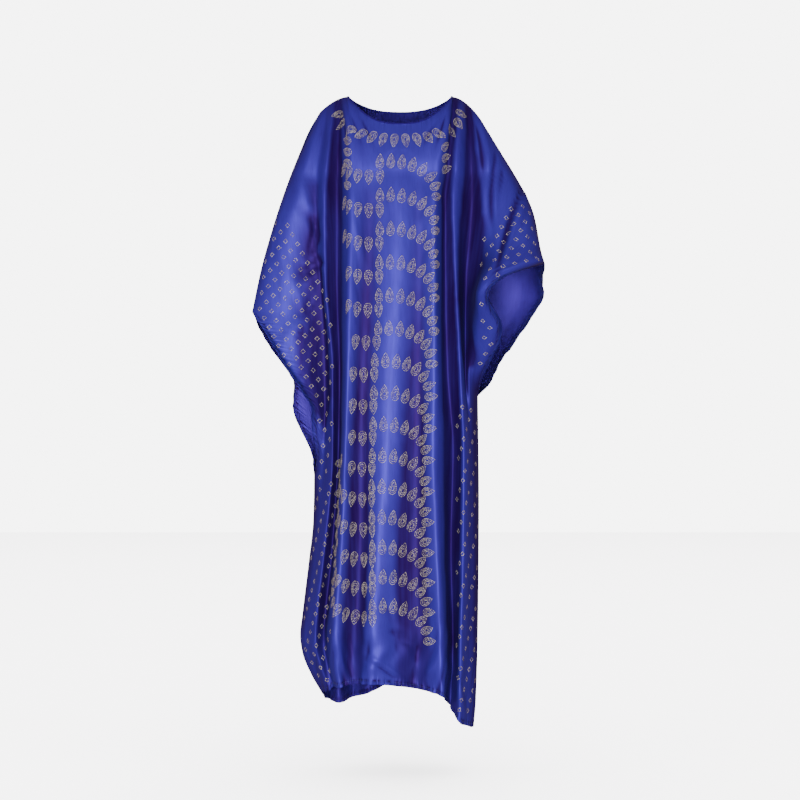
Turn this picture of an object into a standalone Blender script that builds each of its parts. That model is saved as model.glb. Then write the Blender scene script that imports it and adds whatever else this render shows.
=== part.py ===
"""A wide batwing robe dress, worn and hanging from the shoulders with nobody in it.

The robe is cut as two big panels, front and back, each in one piece with its half of both sleeves.
They are sewn along the shoulders and overarms and down the sides, and the neck edge is bound.
Origin: between the shoulders, at their height. +X is to the right as seen from the front,
-Y is the front and +Z is up.
"""

import bpy
import numpy as np

MM = 0.001
WALL = 1.5 * MM  # thickness of the cloth
SEAM_GAP = 0.3 * MM  # between two pieces that are sewn together

# The neck edge is an oval: half its width, and how far it reaches forward, back and down.
NECK_HALF_WIDTH = 119.0
NECK_POINT_HEIGHT = 16.0
NECK_FRONT_REACH = 82.0
NECK_BACK_REACH = 70.0
NECK_FRONT_DROP = 71.0
NECK_BACK_DROP = 28.0
NECK_DROP_POWER = 2.6

# The shoulders slope from the neck points to the tips, where the arms start.
SHOULDER_TIP = 180.0
SHOULDER_DROP_LEFT = 34.0
SHOULDER_DROP_RIGHT = 48.0
SHOULDER_POWER = 1.7

BINDING_WIDTH = 5.0 * MM
BINDING_THICKNESS = 2.6 * MM
BINDING_GAP = 0.5 * MM
BINDING_LEAN_SIDE = 34.0  # degrees above level that the band points inwards, at the neck points
BINDING_LEAN_CENTRE = 60.0  # the same in the middle of the front and the back

# Seam lines where front and back are joined. Each row is (height, across, depth) in mm.
OVERARM_LEFT = (
    (-18, -180, 0),
    (-61, -205, 0),
    (-108, -225, 0),
    (-171, -250, -3),
    (-241, -274, -8),
    (-307, -294, -12),
    (-375, -312, -18),
    (-469, -331, -30),
)
OVERARM_RIGHT = (
    (-32, 180, 0),
    (-72, 202, 0),
    (-106, 225, 0),
    (-176, 268, 0),
    (-209, 286, 0),
    (-250, 302, 0),
    (-328, 317, 0),
    (-361, 325, -20),
)
SIDE_LEFT = (
    (-834, -193, -10),
    (-891, -194, 0),
    (-947, -196, 0),
    (-1026, -205, 0),
    (-1150, -220, 0),
    (-1195, -225, 0),
    (-1233, -220, 0),
    (-1287, -198, 0),
    (-1318, -180, 0),
)
SIDE_RIGHT = (
    (-657, 175, -10),
    (-711, 176, 0),
    (-891, 178, 0),
    (-1138, 176, 0),
    (-1341, 171, 0),
    (-1400, 166, 0),
)

# Open edges of the sleeves, from the overarm's end down to the underarm. Same columns.
CUFF_FRONT_LEFT = (
    (-506, -306, -65),
    (-553, -277, -80),
    (-608, -243, -85),
    (-659, -210, -80),
    (-684, -197, -70),
    (-733, -196, -50),
    (-782, -186, -30),
)
CUFF_BACK_LEFT = (
    (-497, -321, 20),
    (-552, -291, 45),
    (-602, -255, 60),
    (-630, -242, 65),
    (-682, -244, 60),
    (-721, -232, 50),
    (-766, -208, 35),
    (-806, -196, 15),
)
CUFF_FRONT_RIGHT = (
    (-375, 287, -100),
    (-387, 251, -155),
    (-400, 223, -190),
    (-418, 200, -215),
    (-440, 189, -215),
    (-471, 203, -190),
    (-502, 223, -150),
    (-532, 222, -120),
    (-573, 204, -80),
    (-624, 181, -40),
)
CUFF_BACK_RIGHT = (
    (-395, 322, 10),
    (-429, 326, 25),
    (-446, 319, 30),
    (-485, 295, 40),
    (-534, 261, 45),
    (-582, 227, 35),
    (-632, 201, 15),
)

# Fold lines of the front, from left to right. Each row holds the fold's name, where it starts
# across the shoulders or neck edge, how far down its hem is, the columns of mesh between it and
# the next line, and its course as (height, across, depth) stations in mm.
FRONT_FOLDS = (
    ("sleeve_valley", -162, -1316, 3, (
        (-75, -183, -40), (-221, -187, -55), (-399, -178, -50), (-599, -167, -52),
        (-688, -166, -52), (-778, -168, -50), (-890, -176, -46), (-1000, -186, -44),
        (-1198, -206, -42), (-1318, -168, -36))),
    ("sleeve_ridge", -148, -1312, 4, (
        (-75, -156, -48), (-223, -168, -82), (-400, -166, -80), (-600, -150, -85),
        (-777, -150, -84), (-998, -168, -82), (-1198, -188, -78), (-1318, -156, -62))),
    ("side_valley", -136, -1302, 4, (
        (-75, -134, -45), (-222, -138, -62), (-399, -138, -60), (-600, -133, -70),
        (-777, -136, -64), (-1000, -150, -60), (-1201, -168, -56), (-1318, -144, -66))),
    ("panel_left_edge", -119, -1298, 4, (
        (-78, -111, -65), (-227, -108, -120), (-403, -112, -130), (-600, -116, -135),
        (-775, -121, -135), (-994, -130, -135), (-1192, -144, -130), (-1300, -132, -118))),
    ("panel_left_dip", -58, -1291, 4, (
        (-80, -55, -88), (-227, -62, -112), (-403, -72, -118), (-600, -80, -120),
        (-776, -86, -118), (-996, -88, -112), (-1194, -98, -108), (-1300, -96, -108))),
    ("centre_crest", -6, -1289, 4, (
        (-81, -2, -98), (-227, -6, -126), (-403, -12, -136), (-600, -20, -140),
        (-775, -30, -142), (-994, -46, -142), (-1191, -58, -140), (-1300, -60, -138))),
    ("panel_right_dip", 50, -1303, 4, (
        (-80, 53, -88), (-227, 42, -118), (-403, 40, -125), (-600, 37, -126),
        (-776, 36, -122), (-996, 33, -114), (-1194, 38, -106), (-1300, 40, -104))),
    ("panel_right_edge", 100, -1316, 4, (
        (-78, 102, -66), (-228, 76, -128), (-404, 76, -140), (-600, 77, -145),
        (-775, 75, -145), (-994, 82, -142), (-1191, 89, -140), (-1310, 92, -138))),
    ("deep_valley", 119, -1344, 3, (
        (-75, 123, -58), (-223, 99, -88), (-401, 99, -86), (-600, 104, -88),
        (-777, 116, -78), (-999, 112, -68), (-1200, 117, -60), (-1340, 110, -60))),
    ("side_ridge", 136, -1378, 3, (
        (-76, 138, -62), (-225, 120, -102), (-402, 124, -105), (-600, 133, -115),
        (-776, 140, -115), (-996, 139, -110), (-1195, 134, -105), (-1370, 131, -95))),
    ("side_hollow", 152, -1390, 3, (
        (-75, 156, -42), (-221, 158, -60), (-399, 146, -62), (-599, 144, -66),
        (-777, 156, -66), (-1000, 157, -60), (-1200, 153, -58), (-1380, 147, -58))),
    ("sleeve_crest", 164, -1395, 3, (
        (-75, 171, -44), (-223, 188, -82), (-357, 178, -92), (-445, 158, -95),
        (-599, 153, -76), (-777, 163, -52), (-1000, 167, -44), (-1200, 164, -44),
        (-1390, 156, -44))),
    ("forearm_crest", 171, -1398, 3, (
        (-73, 195, -34), (-223, 237, -75), (-315, 224, -120), (-361, 211, -165),
        (-387, 192, -186), (-418, 174, -196), (-440, 168, -190), (-492, 172, -156),
        (-556, 172, -104), (-621, 166, -60), (-700, 169, -36), (-1000, 173, -28),
        (-1200, 171, -28), (-1395, 161, -28))),
)

# Fold lines of the back, from left to right, in the same columns.
BACK_FOLDS = (
    ("sleeve_valley", -166, -1340, 3, (
        (-75, -178, 34), (-200, -190, 50), (-400, -184, 48), (-600, -174, 50),
        (-800, -180, 44), (-1000, -186, 42), (-1200, -206, 42), (-1340, -172, 40))),
    ("sleeve_ridge", -152, -1352, 3, (
        (-75, -158, 44), (-200, -162, 82), (-400, -160, 85), (-600, -152, 90),
        (-800, -156, 92), (-1000, -162, 94), (-1200, -178, 96), (-1350, -160, 92))),
    ("side_valley", -136, -1356, 3, (
        (-75, -134, 42), (-200, -134, 64), (-400, -132, 66), (-600, -128, 70),
        (-800, -131, 68), (-1000, -135, 64), (-1200, -144, 60), (-1350, -138, 62))),
    ("left_crest", -119, -1350, 3, (
        (-75, -108, 66), (-200, -104, 110), (-400, -104, 118), (-600, -103, 122),
        (-800, -103, 125), (-1000, -105, 127), (-1200, -110, 128), (-1350, -108, 124))),
    ("left_dip", -66, -1338, 3, (
        (-70, -62, 80), (-200, -62, 98), (-400, -66, 98), (-600, -68, 96),
        (-800, -70, 94), (-1000, -70, 92), (-1200, -72, 90), (-1335, -72, 92))),
    ("middle_left_crest", -24, -1324, 3, (
        (-66, -24, 88), (-200, -25, 112), (-400, -28, 117), (-600, -30, 120),
        (-800, -32, 123), (-1000, -34, 126), (-1200, -36, 130), (-1320, -36, 130))),
    ("middle_dip", 14, -1316, 3, (
        (-66, 13, 88), (-200, 12, 104), (-400, 10, 100), (-600, 8, 97),
        (-800, 6, 95), (-1000, 4, 93), (-1200, 2, 92), (-1315, 2, 94))),
    ("middle_right_crest", 54, -1316, 3, (
        (-70, 50, 82), (-200, 49, 112), (-400, 48, 117), (-600, 46, 121),
        (-800, 46, 125), (-1000, 46, 128), (-1200, 46, 131), (-1315, 46, 130))),
    ("right_dip", 92, -1322, 3, (
        (-72, 84, 68), (-200, 82, 90), (-400, 82, 86), (-600, 84, 82),
        (-800, 86, 80), (-1000, 88, 78), (-1200, 88, 76), (-1320, 86, 80))),
    ("right_crest", 119, -1338, 3, (
        (-75, 112, 54), (-200, 112, 102), (-400, 114, 110), (-600, 116, 115),
        (-800, 118, 118), (-1000, 120, 120), (-1200, 120, 121), (-1335, 118, 118))),
    ("side_valley_right", 139, -1362, 3, (
        (-75, 140, 42), (-200, 141, 66), (-400, 142, 64), (-600, 142, 62),
        (-800, 144, 60), (-1000, 146, 58), (-1200, 145, 57), (-1360, 140, 58))),
    ("sleeve_ridge_right", 158, -1386, 3, (
        (-75, 164, 36), (-200, 172, 78), (-400, 168, 76), (-600, 160, 70),
        (-800, 162, 62), (-1000, 163, 62), (-1200, 160, 62), (-1385, 152, 60))),
)

# Between the outermost fold and the edge lie two more lines. Each row is the share of the way
# from the edge to the fold, the share of the fold's depth there, how far it bulges in mm, and the
# share that takes the place of the first two where the strip is narrow.
EDGE_LINES = (
    (0.10, 0.62, 6.0, 0.28),
    (0.48, 0.90, 12.0, 0.62),
)
EDGE_COLUMNS = (3, 4, 4)  # columns of mesh in the three strips beside each edge
BULGE_FULL_WIDTH = 90.0  # a strip this wide bulges fully, and a narrow one hardly

# Heights of the mesh rows. The top rows fan out below the neck edge, the bottom ones above the hem.
YOKE_HEIGHT = -165.0
YOKE_SHARES = (0.0, 0.02, 0.07, 0.16, 0.30, 0.55)
LEVELS = (
    -165, -215, -262, -305, -338, -361, -375, -387, -400, -418, -440, -469, -500, -532, -573,
    -615, -657, -700, -745, -790, -834, -900, -970, -1040, -1110, -1160, -1200)
KNEE_HEIGHT = -1200.0
HEM_SHARES = (0.33, 0.66, 1.0)
YOKE_ROW = len(YOKE_SHARES)
SHOULDER_ROUNDING = 0.62  # 1 lets the cloth fall straight from the edge, less rounds it over the shoulder

CLOTH_BLUE = (0.030, 0.045, 0.420, 1.0)
BINDING_BLUE = (0.025, 0.035, 0.330, 1.0)


def smooth_slopes(knots, values):
    """Slopes of a curve through the values that never swings past them (monotone cubic)."""
    steps = np.diff(knots)
    rises = np.diff(values) / steps
    slopes = np.zeros_like(values)
    before, after = rises[:-1], rises[1:]
    same_way = before * after > 0
    weight_before = 2 * steps[1:] + steps[:-1]
    weight_after = steps[1:] + 2 * steps[:-1]
    safe_before = np.where(same_way, before, 1.0)
    safe_after = np.where(same_way, after, 1.0)
    mean = (weight_before + weight_after) / (weight_before / safe_before + weight_after / safe_after)
    slopes[1:-1] = np.where(same_way, mean, 0.0)
    slopes[0], slopes[-1] = rises[0], rises[-1]
    return slopes


def smooth_curve(knots, values, wanted):
    """The smooth curve's values at the wanted places, held level past its ends."""
    knots, values = np.asarray(knots, float), np.asarray(values, float)
    slopes = smooth_slopes(knots, values)
    wanted = np.clip(wanted, knots[0], knots[-1])
    at = np.clip(np.searchsorted(knots, wanted, side="right") - 1, 0, len(knots) - 2)
    step = knots[at + 1] - knots[at]
    t = (wanted - knots[at]) / step
    return (
        (2 * t**3 - 3 * t**2 + 1) * values[at]
        + (t**3 - 2 * t**2 + t) * step * slopes[at]
        + (3 * t**2 - 2 * t**3) * values[at + 1]
        + (t**3 - t**2) * step * slopes[at + 1]
    )


def course(stations, height):
    """(across, depth) of a line through (height, across, depth) stations, at a height."""
    table = np.array(sorted(stations), float)
    return smooth_curve(table[:, 0], table[:, 1], height), smooth_curve(table[:, 0], table[:, 2], height)


def top_edge(across, side):
    """(depth, height) of the neck edge and shoulder seam at a place across. side is -1 in front, 1 behind."""
    share = np.clip(np.abs(across) / NECK_HALF_WIDTH, 0, 1)
    drop = NECK_FRONT_DROP if side < 0 else NECK_BACK_DROP
    reach = NECK_FRONT_REACH if side < 0 else NECK_BACK_REACH
    past_neck = np.clip((np.abs(across) - NECK_HALF_WIDTH) / (SHOULDER_TIP - NECK_HALF_WIDTH), 0, 1)
    shoulder_drop = np.where(across < 0, SHOULDER_DROP_LEFT, SHOULDER_DROP_RIGHT)
    height = NECK_POINT_HEIGHT - drop * (1 - share**NECK_DROP_POWER)
    height = height - shoulder_drop * past_neck**SHOULDER_POWER
    depth = side * reach * np.sqrt(1 - share**2)
    return depth, height


def row_height(row, top_height, hem_height):
    """Height of mesh row number row on a line that runs from top_height to hem_height."""
    if row < len(YOKE_SHARES):
        return top_height + (YOKE_HEIGHT - top_height) * YOKE_SHARES[row]
    row -= len(YOKE_SHARES)
    if row < len(LEVELS):
        return float(LEVELS[row])
    return KNEE_HEIGHT + (hem_height - KNEE_HEIGHT) * HEM_SHARES[row - len(LEVELS)]


ROWS = len(YOKE_SHARES) + len(LEVELS) + len(HEM_SHARES)


def edge_points(overarm, cuff, side_seam):
    """One panel's edge at every row, as points (across, depth, height), and whether each is sewn."""
    open_edge = overarm[-1:] + cuff + side_seam[:1]
    points, sewn = [], []
    for row in range(ROWS):
        height = row_height(row, overarm[0][0], side_seam[-1][0])
        on_arm = height >= overarm[-1][0]
        on_side = height <= side_seam[0][0]
        stations = overarm if on_arm else side_seam if on_side else open_edge
        across, depth = course(stations, height)
        points.append((across, depth, height))
        sewn.append(on_arm or on_side)
    return np.array(points, float), np.array(sewn)


def edge_line(edge, fold, share, depth_share, bulge, narrow_share, side):
    """A line between a panel's edge and its outermost fold, bulging outwards where the strip is wide."""
    width = np.abs(fold[:, 0] - edge[:, 0])
    full = np.clip(width / BULGE_FULL_WIDTH, 0, 1)[:, None]
    shares = np.array([share, depth_share, share]) * full
    shares = shares + np.array([narrow_share, narrow_share, narrow_share]) * (1 - full)
    line = edge + (fold - edge) * shares
    line[:, 1] += side * bulge * full[:, 0]
    return line


def panel_lines(folds, left, right, side):
    """Every line of a panel from its left edge to its right, an array of (line, row, 3) in mm."""
    inner = []
    for _, start_across, hem_height, _, stations in folds:
        start_height = float(top_edge(start_across, side)[1])
        points = []
        for row in range(ROWS):
            height = row_height(row, start_height, hem_height)
            across, depth = course(stations, height)
            points.append((across, depth, height))
        points[0] = (start_across, 0.0, start_height)
        inner.append(np.array(points, float))
    lines = [left]
    lines += [edge_line(left, inner[0], *shape, side) for shape in EDGE_LINES]
    lines += inner
    lines += [edge_line(right, inner[-1], *shape, side) for shape in reversed(EDGE_LINES)]
    lines.append(right)
    return np.array(lines)


def panel_columns(folds):
    """The columns of mesh between each line of a panel and the next."""
    between = [fold[3] for fold in folds[:-1]]
    return list(EDGE_COLUMNS) + between + list(reversed(EDGE_COLUMNS))


def start_places(lines, knots, places):
    """Where the columns start across the top edge. Round the neck they are spread by angle."""
    starts = lines[:, 0, 0]
    across = smooth_curve(knots, starts, places)
    on_neck = np.flatnonzero(np.abs(starts) <= NECK_HALF_WIDTH)
    angles = np.arccos(-starts[on_neck] / NECK_HALF_WIDTH)
    inside = (places >= knots[on_neck[0]]) & (places <= knots[on_neck[-1]])
    swept = smooth_curve(knots[on_neck], angles, places[inside])
    across[inside] = -NECK_HALF_WIDTH * np.cos(swept)
    return across


def panel_surface(folds, left, right, side):
    """The panel's outer surface, an array of (row, column, 3) in metres.

    Each row is a smooth curve through the lines' points. The rows above the yoke run from the top
    edge to the yoke row: across and height go evenly, and depth rounds the shoulder.
    """
    lines = panel_lines(folds, left, right, side)
    counts = panel_columns(folds)
    places = np.concatenate([k + np.arange(n) / n for k, n in enumerate(counts)] + [[len(counts)]])
    knots = np.arange(len(lines))
    surface = np.empty((ROWS, len(places), 3))
    for row in range(ROWS):
        for axis in range(3):
            surface[row, :, axis] = smooth_curve(knots, lines[:, row, axis], places)
    start = start_places(lines, knots, places)
    top = np.stack([start, *top_edge(start, side)], axis=1)
    yoke = surface[YOKE_ROW]
    inward = 1 - np.clip(np.abs(start) / NECK_HALF_WIDTH, 0, 1) ** 2
    rounding = SHOULDER_ROUNDING + (1 - SHOULDER_ROUNDING) * inward
    for row, share in enumerate(YOKE_SHARES):
        surface[row, 1:-1] = (top + (yoke - top) * share)[1:-1]
        rounded = (share * (2 - share)) ** rounding
        surface[row, 1:-1, 1] = (top[:, 1] + (yoke - top)[:, 1] * rounded)[1:-1]
    surface[0] = top
    return surface * MM


def unit(vectors):
    return vectors / np.linalg.norm(vectors, axis=-1, keepdims=True)


def panel_normals(surface, sewn_left, sewn_right, side):
    """Outward normals. Along a seam they lie in the seam's plane, so that the two panels' edges face each other."""
    along_row = np.gradient(surface, axis=1)
    down = np.gradient(surface, axis=0)
    normals = unit(np.cross(along_row, down) * side)
    for column, sewn, outward in ((0, sewn_left, -1.0), (-1, sewn_right, 1.0)):
        run = np.gradient(surface[:, column], axis=0)
        flat = np.stack([-run[:, 2] * outward, np.zeros(len(run)), run[:, 0] * outward], axis=1)
        normals[sewn, column] = unit(flat)[sewn]
    on_shoulder = np.abs(surface[0, :, 0]) >= NECK_HALF_WIDTH * MM - 1e-6
    run = np.gradient(surface[0], axis=0)
    flat = np.stack([-run[:, 2], np.zeros(len(run)), run[:, 0]], axis=1)
    normals[0, on_shoulder] = unit(flat)[on_shoulder]
    return normals


def wall_mesh(name, outer, inner, side):
    """A closed wall between an outer and an inner grid of points."""
    rows, columns = outer.shape[:2]
    points = np.concatenate([outer.reshape(-1, 3), inner.reshape(-1, 3)])
    index = np.arange(rows * columns).reshape(rows, columns)
    faces = []

    def sheet(grid, flip):
        a, b = grid[:-1, :-1].ravel(), grid[:-1, 1:].ravel()
        c, d = grid[1:, 1:].ravel(), grid[1:, :-1].ravel()
        quads = np.stack([a, b, c, d] if flip else [a, d, c, b], axis=1)
        faces.extend(quads.tolist())

    sheet(index, side > 0)
    sheet(index + rows * columns, side < 0)
    rim = np.concatenate([index[0, :-1], index[:-1, -1], index[-1, :0:-1], index[:0:-1, 0]])
    following = np.roll(rim, -1)
    far = rows * columns
    quads = [rim, following, following + far, rim + far]
    quads = quads if side < 0 else quads[::-1]
    faces.extend(np.stack(quads, axis=1).tolist())
    mesh = bpy.data.meshes.new(name)
    mesh.from_pydata(points.tolist(), [], faces)
    mesh.update()
    return mesh


def satin(name, colour):
    """A plain satin material for the viewport and the part's own views."""
    material = bpy.data.materials.new(name)
    material.use_nodes = True
    shader = material.node_tree.nodes["Principled BSDF"]
    shader.inputs["Base Color"].default_value = colour
    shader.inputs["Roughness"].default_value = 0.35
    shader.inputs["Metallic"].default_value = 0.0
    material.diffuse_color = colour
    return material


def add_object(name, mesh, material):
    """Adds a mesh to the scene as a named part."""
    mesh.materials.append(material)
    mesh.shade_smooth()
    part = bpy.data.objects.new(name, mesh)
    bpy.context.scene.collection.objects.link(part)
    return part


def add_panel(name, folds, edges, side, material):
    """Builds the front or the back: its surface, the inside of its wall and its edges."""
    (left, sewn_left), (right, sewn_right) = edges
    surface = panel_surface(folds, left, right, side)
    normals = panel_normals(surface, sewn_left, sewn_right, side)
    outer = surface + np.array([0.0, side * SEAM_GAP / 2, 0.0])
    inner = outer - normals * WALL
    add_object(name, wall_mesh(name, outer, inner, side), material)
    return outer


def neck_ring(panel):
    """The points of a panel's top row that lie on the neck edge, from left to right."""
    return panel[0, np.abs(panel[0, :, 0]) <= NECK_HALF_WIDTH * MM + 1e-6]


def binding_mesh(name, front, back):
    """The bound neck edge: a narrow band that stands on the panels' top edges, all the way round."""
    front_ring, back_ring = neck_ring(front), neck_ring(back)
    edge = np.concatenate([front_ring[:-1], back_ring[:0:-1]])
    edge[[0, len(front_ring) - 1], 1] = 0.0
    reach = np.where(edge[:, 1] < 0, NECK_FRONT_REACH, NECK_BACK_REACH)
    inward = unit(-edge * np.stack([NECK_HALF_WIDTH**-2.0 + 0 * reach, reach**-2.0, 0 * reach], axis=1))
    share = np.abs(edge[:, 0]) / (NECK_HALF_WIDTH * MM)
    lean = np.radians(BINDING_LEAN_SIDE + (BINDING_LEAN_CENTRE - BINDING_LEAN_SIDE) * (1 - share**2))
    run = unit(np.roll(edge, -1, axis=0) - np.roll(edge, 1, axis=0))
    up = inward * np.cos(lean)[:, None] + np.array([0.0, 0.0, 1.0]) * np.sin(lean)[:, None]
    up = unit(up - run * np.sum(up * run, axis=1, keepdims=True))
    out = np.cross(run, up)
    centre = edge - out * WALL / 2
    low, high = BINDING_GAP, BINDING_GAP + BINDING_WIDTH
    half = BINDING_THICKNESS / 2
    corners = ((half, low), (half, high), (-half, high), (-half, low))
    points = np.stack([centre + out * across + up * rise for across, rise in corners], axis=1)
    index = np.arange(len(edge) * 4).reshape(len(edge), 4)
    following = np.roll(index, -1, axis=0)
    faces = []
    for corner in range(4):
        other = (corner + 1) % 4
        quads = [index[:, corner], following[:, corner], following[:, other], index[:, other]]
        faces.extend(np.stack(quads, axis=1).tolist())
    mesh = bpy.data.meshes.new(name)
    mesh.from_pydata(points.reshape(-1, 3).tolist(), [], faces)
    mesh.update()
    return mesh


def main():
    for existing in list(bpy.data.objects):
        bpy.data.objects.remove(existing)
    cloth = satin("royal_blue_satin", CLOTH_BLUE)
    front_edges = (
        edge_points(OVERARM_LEFT, CUFF_FRONT_LEFT, SIDE_LEFT),
        edge_points(OVERARM_RIGHT, CUFF_FRONT_RIGHT, SIDE_RIGHT),
    )
    back_edges = (
        edge_points(OVERARM_LEFT, CUFF_BACK_LEFT, SIDE_LEFT),
        edge_points(OVERARM_RIGHT, CUFF_BACK_RIGHT, SIDE_RIGHT),
    )
    front = add_panel("front", FRONT_FOLDS, front_edges, -1, cloth)
    back = add_panel("back", BACK_FOLDS, back_edges, 1, cloth)
    binding = binding_mesh("neck_binding", front, back)
    add_object("neck_binding", binding, satin("binding_blue_satin", BINDING_BLUE))


main()
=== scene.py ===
"""Looks of a wide batwing robe dress in royal blue satin, hanging in its worn pose with nobody in it.

Units are metres, except in the tables of fold lines, which are in millimetres. +Z is up, -Y is the
front and +X is to the right as seen from the front. The origin lies between the shoulders.
"""

import logging
from dataclasses import dataclass, field
from enum import Enum
from typing import Any, Sequence

import bpy
import numpy as np
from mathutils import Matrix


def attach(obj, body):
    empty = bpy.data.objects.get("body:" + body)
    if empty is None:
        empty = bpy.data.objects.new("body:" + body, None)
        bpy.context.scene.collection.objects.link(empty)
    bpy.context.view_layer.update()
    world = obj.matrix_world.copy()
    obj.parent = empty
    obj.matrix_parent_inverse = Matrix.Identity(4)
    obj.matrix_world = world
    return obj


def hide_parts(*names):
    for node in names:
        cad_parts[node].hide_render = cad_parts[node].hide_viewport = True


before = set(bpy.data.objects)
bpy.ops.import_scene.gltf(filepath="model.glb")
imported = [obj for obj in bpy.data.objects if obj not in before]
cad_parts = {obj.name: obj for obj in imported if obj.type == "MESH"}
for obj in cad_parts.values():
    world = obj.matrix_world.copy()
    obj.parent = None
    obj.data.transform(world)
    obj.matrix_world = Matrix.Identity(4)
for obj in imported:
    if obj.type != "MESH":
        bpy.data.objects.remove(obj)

log = logging.getLogger("robe")
MM = 0.001
FAR = 1.0  # metres, in place of the distance to an edge that isn't there
HAIR = 1e-6  # metres
Array = np.ndarray
Triple = tuple[float, float, float]
Colour = tuple[float, float, float, float]


class Side(Enum):
    """Which half of the robe a panel is. The value is the way its outside faces along Y."""

    FRONT = -1
    BACK = 1


class Motif(Enum):
    """The two figures that the studs are set in."""

    DROP = "drop"
    DIAMOND = "diamond"


# Curves and grids.


def monotone(knots: Array, values: Array, wanted: Array) -> Array:
    """Smooth curve through the values that never swings past them.

    It is a cubic between each pair of knots. The slope at a knot is the weighted harmonic mean of
    the slopes on its two sides, or zero where they have opposite signs.

    Args:
        knots: rising places of the values, one for each entry of the first axis.
        values: array whose first axis runs along the knots.
        wanted: places to work the curve out at, held to the range of the knots.

    Returns:
        The curve, with wanted's length as its first axis.
    """
    knots, values = np.asarray(knots, float), np.asarray(values, float)
    extra = (slice(None),) + (None,) * (values.ndim - 1)
    steps = np.diff(knots)[extra]
    rises = np.diff(values, axis=0) / steps
    slopes = np.zeros_like(values)
    before, after = rises[:-1], rises[1:]
    same_way = before * after > 0
    weight_before = 2 * steps[1:] + steps[:-1]
    weight_after = steps[1:] + 2 * steps[:-1]
    safe_before = np.where(same_way, before, 1.0)
    safe_after = np.where(same_way, after, 1.0)
    mean = (weight_before + weight_after) / (weight_before / safe_before + weight_after / safe_after)
    slopes[1:-1] = np.where(same_way, mean, 0.0)
    slopes[0], slopes[-1] = rises[0], rises[-1]
    wanted = np.clip(wanted, knots[0], knots[-1])
    at = np.clip(np.searchsorted(knots, wanted, side="right") - 1, 0, len(knots) - 2)
    step = (knots[at + 1] - knots[at])[extra]
    t = ((wanted - knots[at]) / (knots[at + 1] - knots[at]))[extra]
    return (
        (2 * t**3 - 3 * t**2 + 1) * values[at]
        + (t**3 - 2 * t**2 + t) * step * slopes[at]
        + (3 * t**2 - 2 * t**3) * values[at + 1]
        + (t**3 - t**2) * step * slopes[at + 1]
    )


def smoothstep(low: float, high: float, value: Array) -> Array:
    """Rises smoothly from 0 at low to 1 at high: 3t^2 - 2t^3 of the share t of the way."""
    t = np.clip((value - low) / (high - low), 0, 1)
    return t * t * (3 - 2 * t)


def unit(vectors: Array) -> Array:
    """The vectors, each scaled to length 1."""
    return vectors / np.maximum(np.linalg.norm(vectors, axis=-1, keepdims=True), 1e-12)


def ripple(places: Array, waves: int, shortest: float, longest: float, seed: int) -> Array:
    """A smooth irregular wave between about -1 and 1.

    It is the sum of sines in the two directions of places, whose lengths are spread evenly by
    ratio between longest and shortest and whose headings and phases come from a seeded generator.

    Args:
        places: array whose last axis holds two coordinates.
        waves: how many sines are added.
        shortest: shortest wave, in the unit of places.
        longest: longest wave.
        seed: seed of the generator.

    Returns:
        The wave's height at each place.
    """
    generator = np.random.default_rng(seed)
    total = np.zeros(places.shape[:-1])
    for length in np.geomspace(longest, shortest, waves):
        heading = generator.uniform(0, 2 * np.pi)
        phase = generator.uniform(0, 2 * np.pi)
        along = places[..., 0] * np.cos(heading) + places[..., 1] * np.sin(heading)
        total += np.sin(2 * np.pi * along / length + phase)
    return total / np.sqrt(waves)


def mesh_object(name: str, points: Array, faces: Sequence, uv: Array | None = None) -> bpy.types.Object:
    """Makes an object of a mesh from whole arrays.

    Args:
        name: name of the object and its mesh.
        points: (n, 3) array in metres.
        faces: list of index lists, or an (m, k) array.
        uv: (n, 2) array of cloth coordinates for each point, or None.

    Returns:
        The object, linked to the scene and shaded smooth.
    """
    mesh = bpy.data.meshes.new(name)
    faces = faces.tolist() if isinstance(faces, np.ndarray) else faces
    mesh.from_pydata(points.tolist(), [], faces)
    mesh.update()
    if uv is not None:
        layer = mesh.uv_layers.new(name="cloth")
        corners = np.empty(len(mesh.loops), dtype=np.int32)
        mesh.loops.foreach_get("vertex_index", corners)
        layer.data.foreach_set("uv", uv[corners].astype(np.float32).ravel())
    mesh.shade_smooth()
    thing = bpy.data.objects.new(name, mesh)
    bpy.context.scene.collection.objects.link(thing)
    return thing


def paint(thing: bpy.types.Object, name: str, values: Array) -> None:
    """Gives each point of a mesh a number that its material reads."""
    layer = thing.data.attributes.new(name, "FLOAT", "POINT")
    layer.data.foreach_set("value", values.astype(np.float32))


def grid_faces(index: Array, flip: bool) -> Array:
    """Quads over a grid of point numbers, turned the other way round where flip is true.

    Args:
        index: grid of point numbers.
        flip: whether the quads are turned the other way round.

    Returns:
        (n, 4) array of point numbers.
    """
    a, b = index[:-1, :-1].ravel(), index[:-1, 1:].ravel()
    c, d = index[1:, 1:].ravel(), index[1:, :-1].ravel()
    return np.stack([a, b, c, d] if flip else [a, d, c, b], axis=1)


# Shaders.


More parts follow.
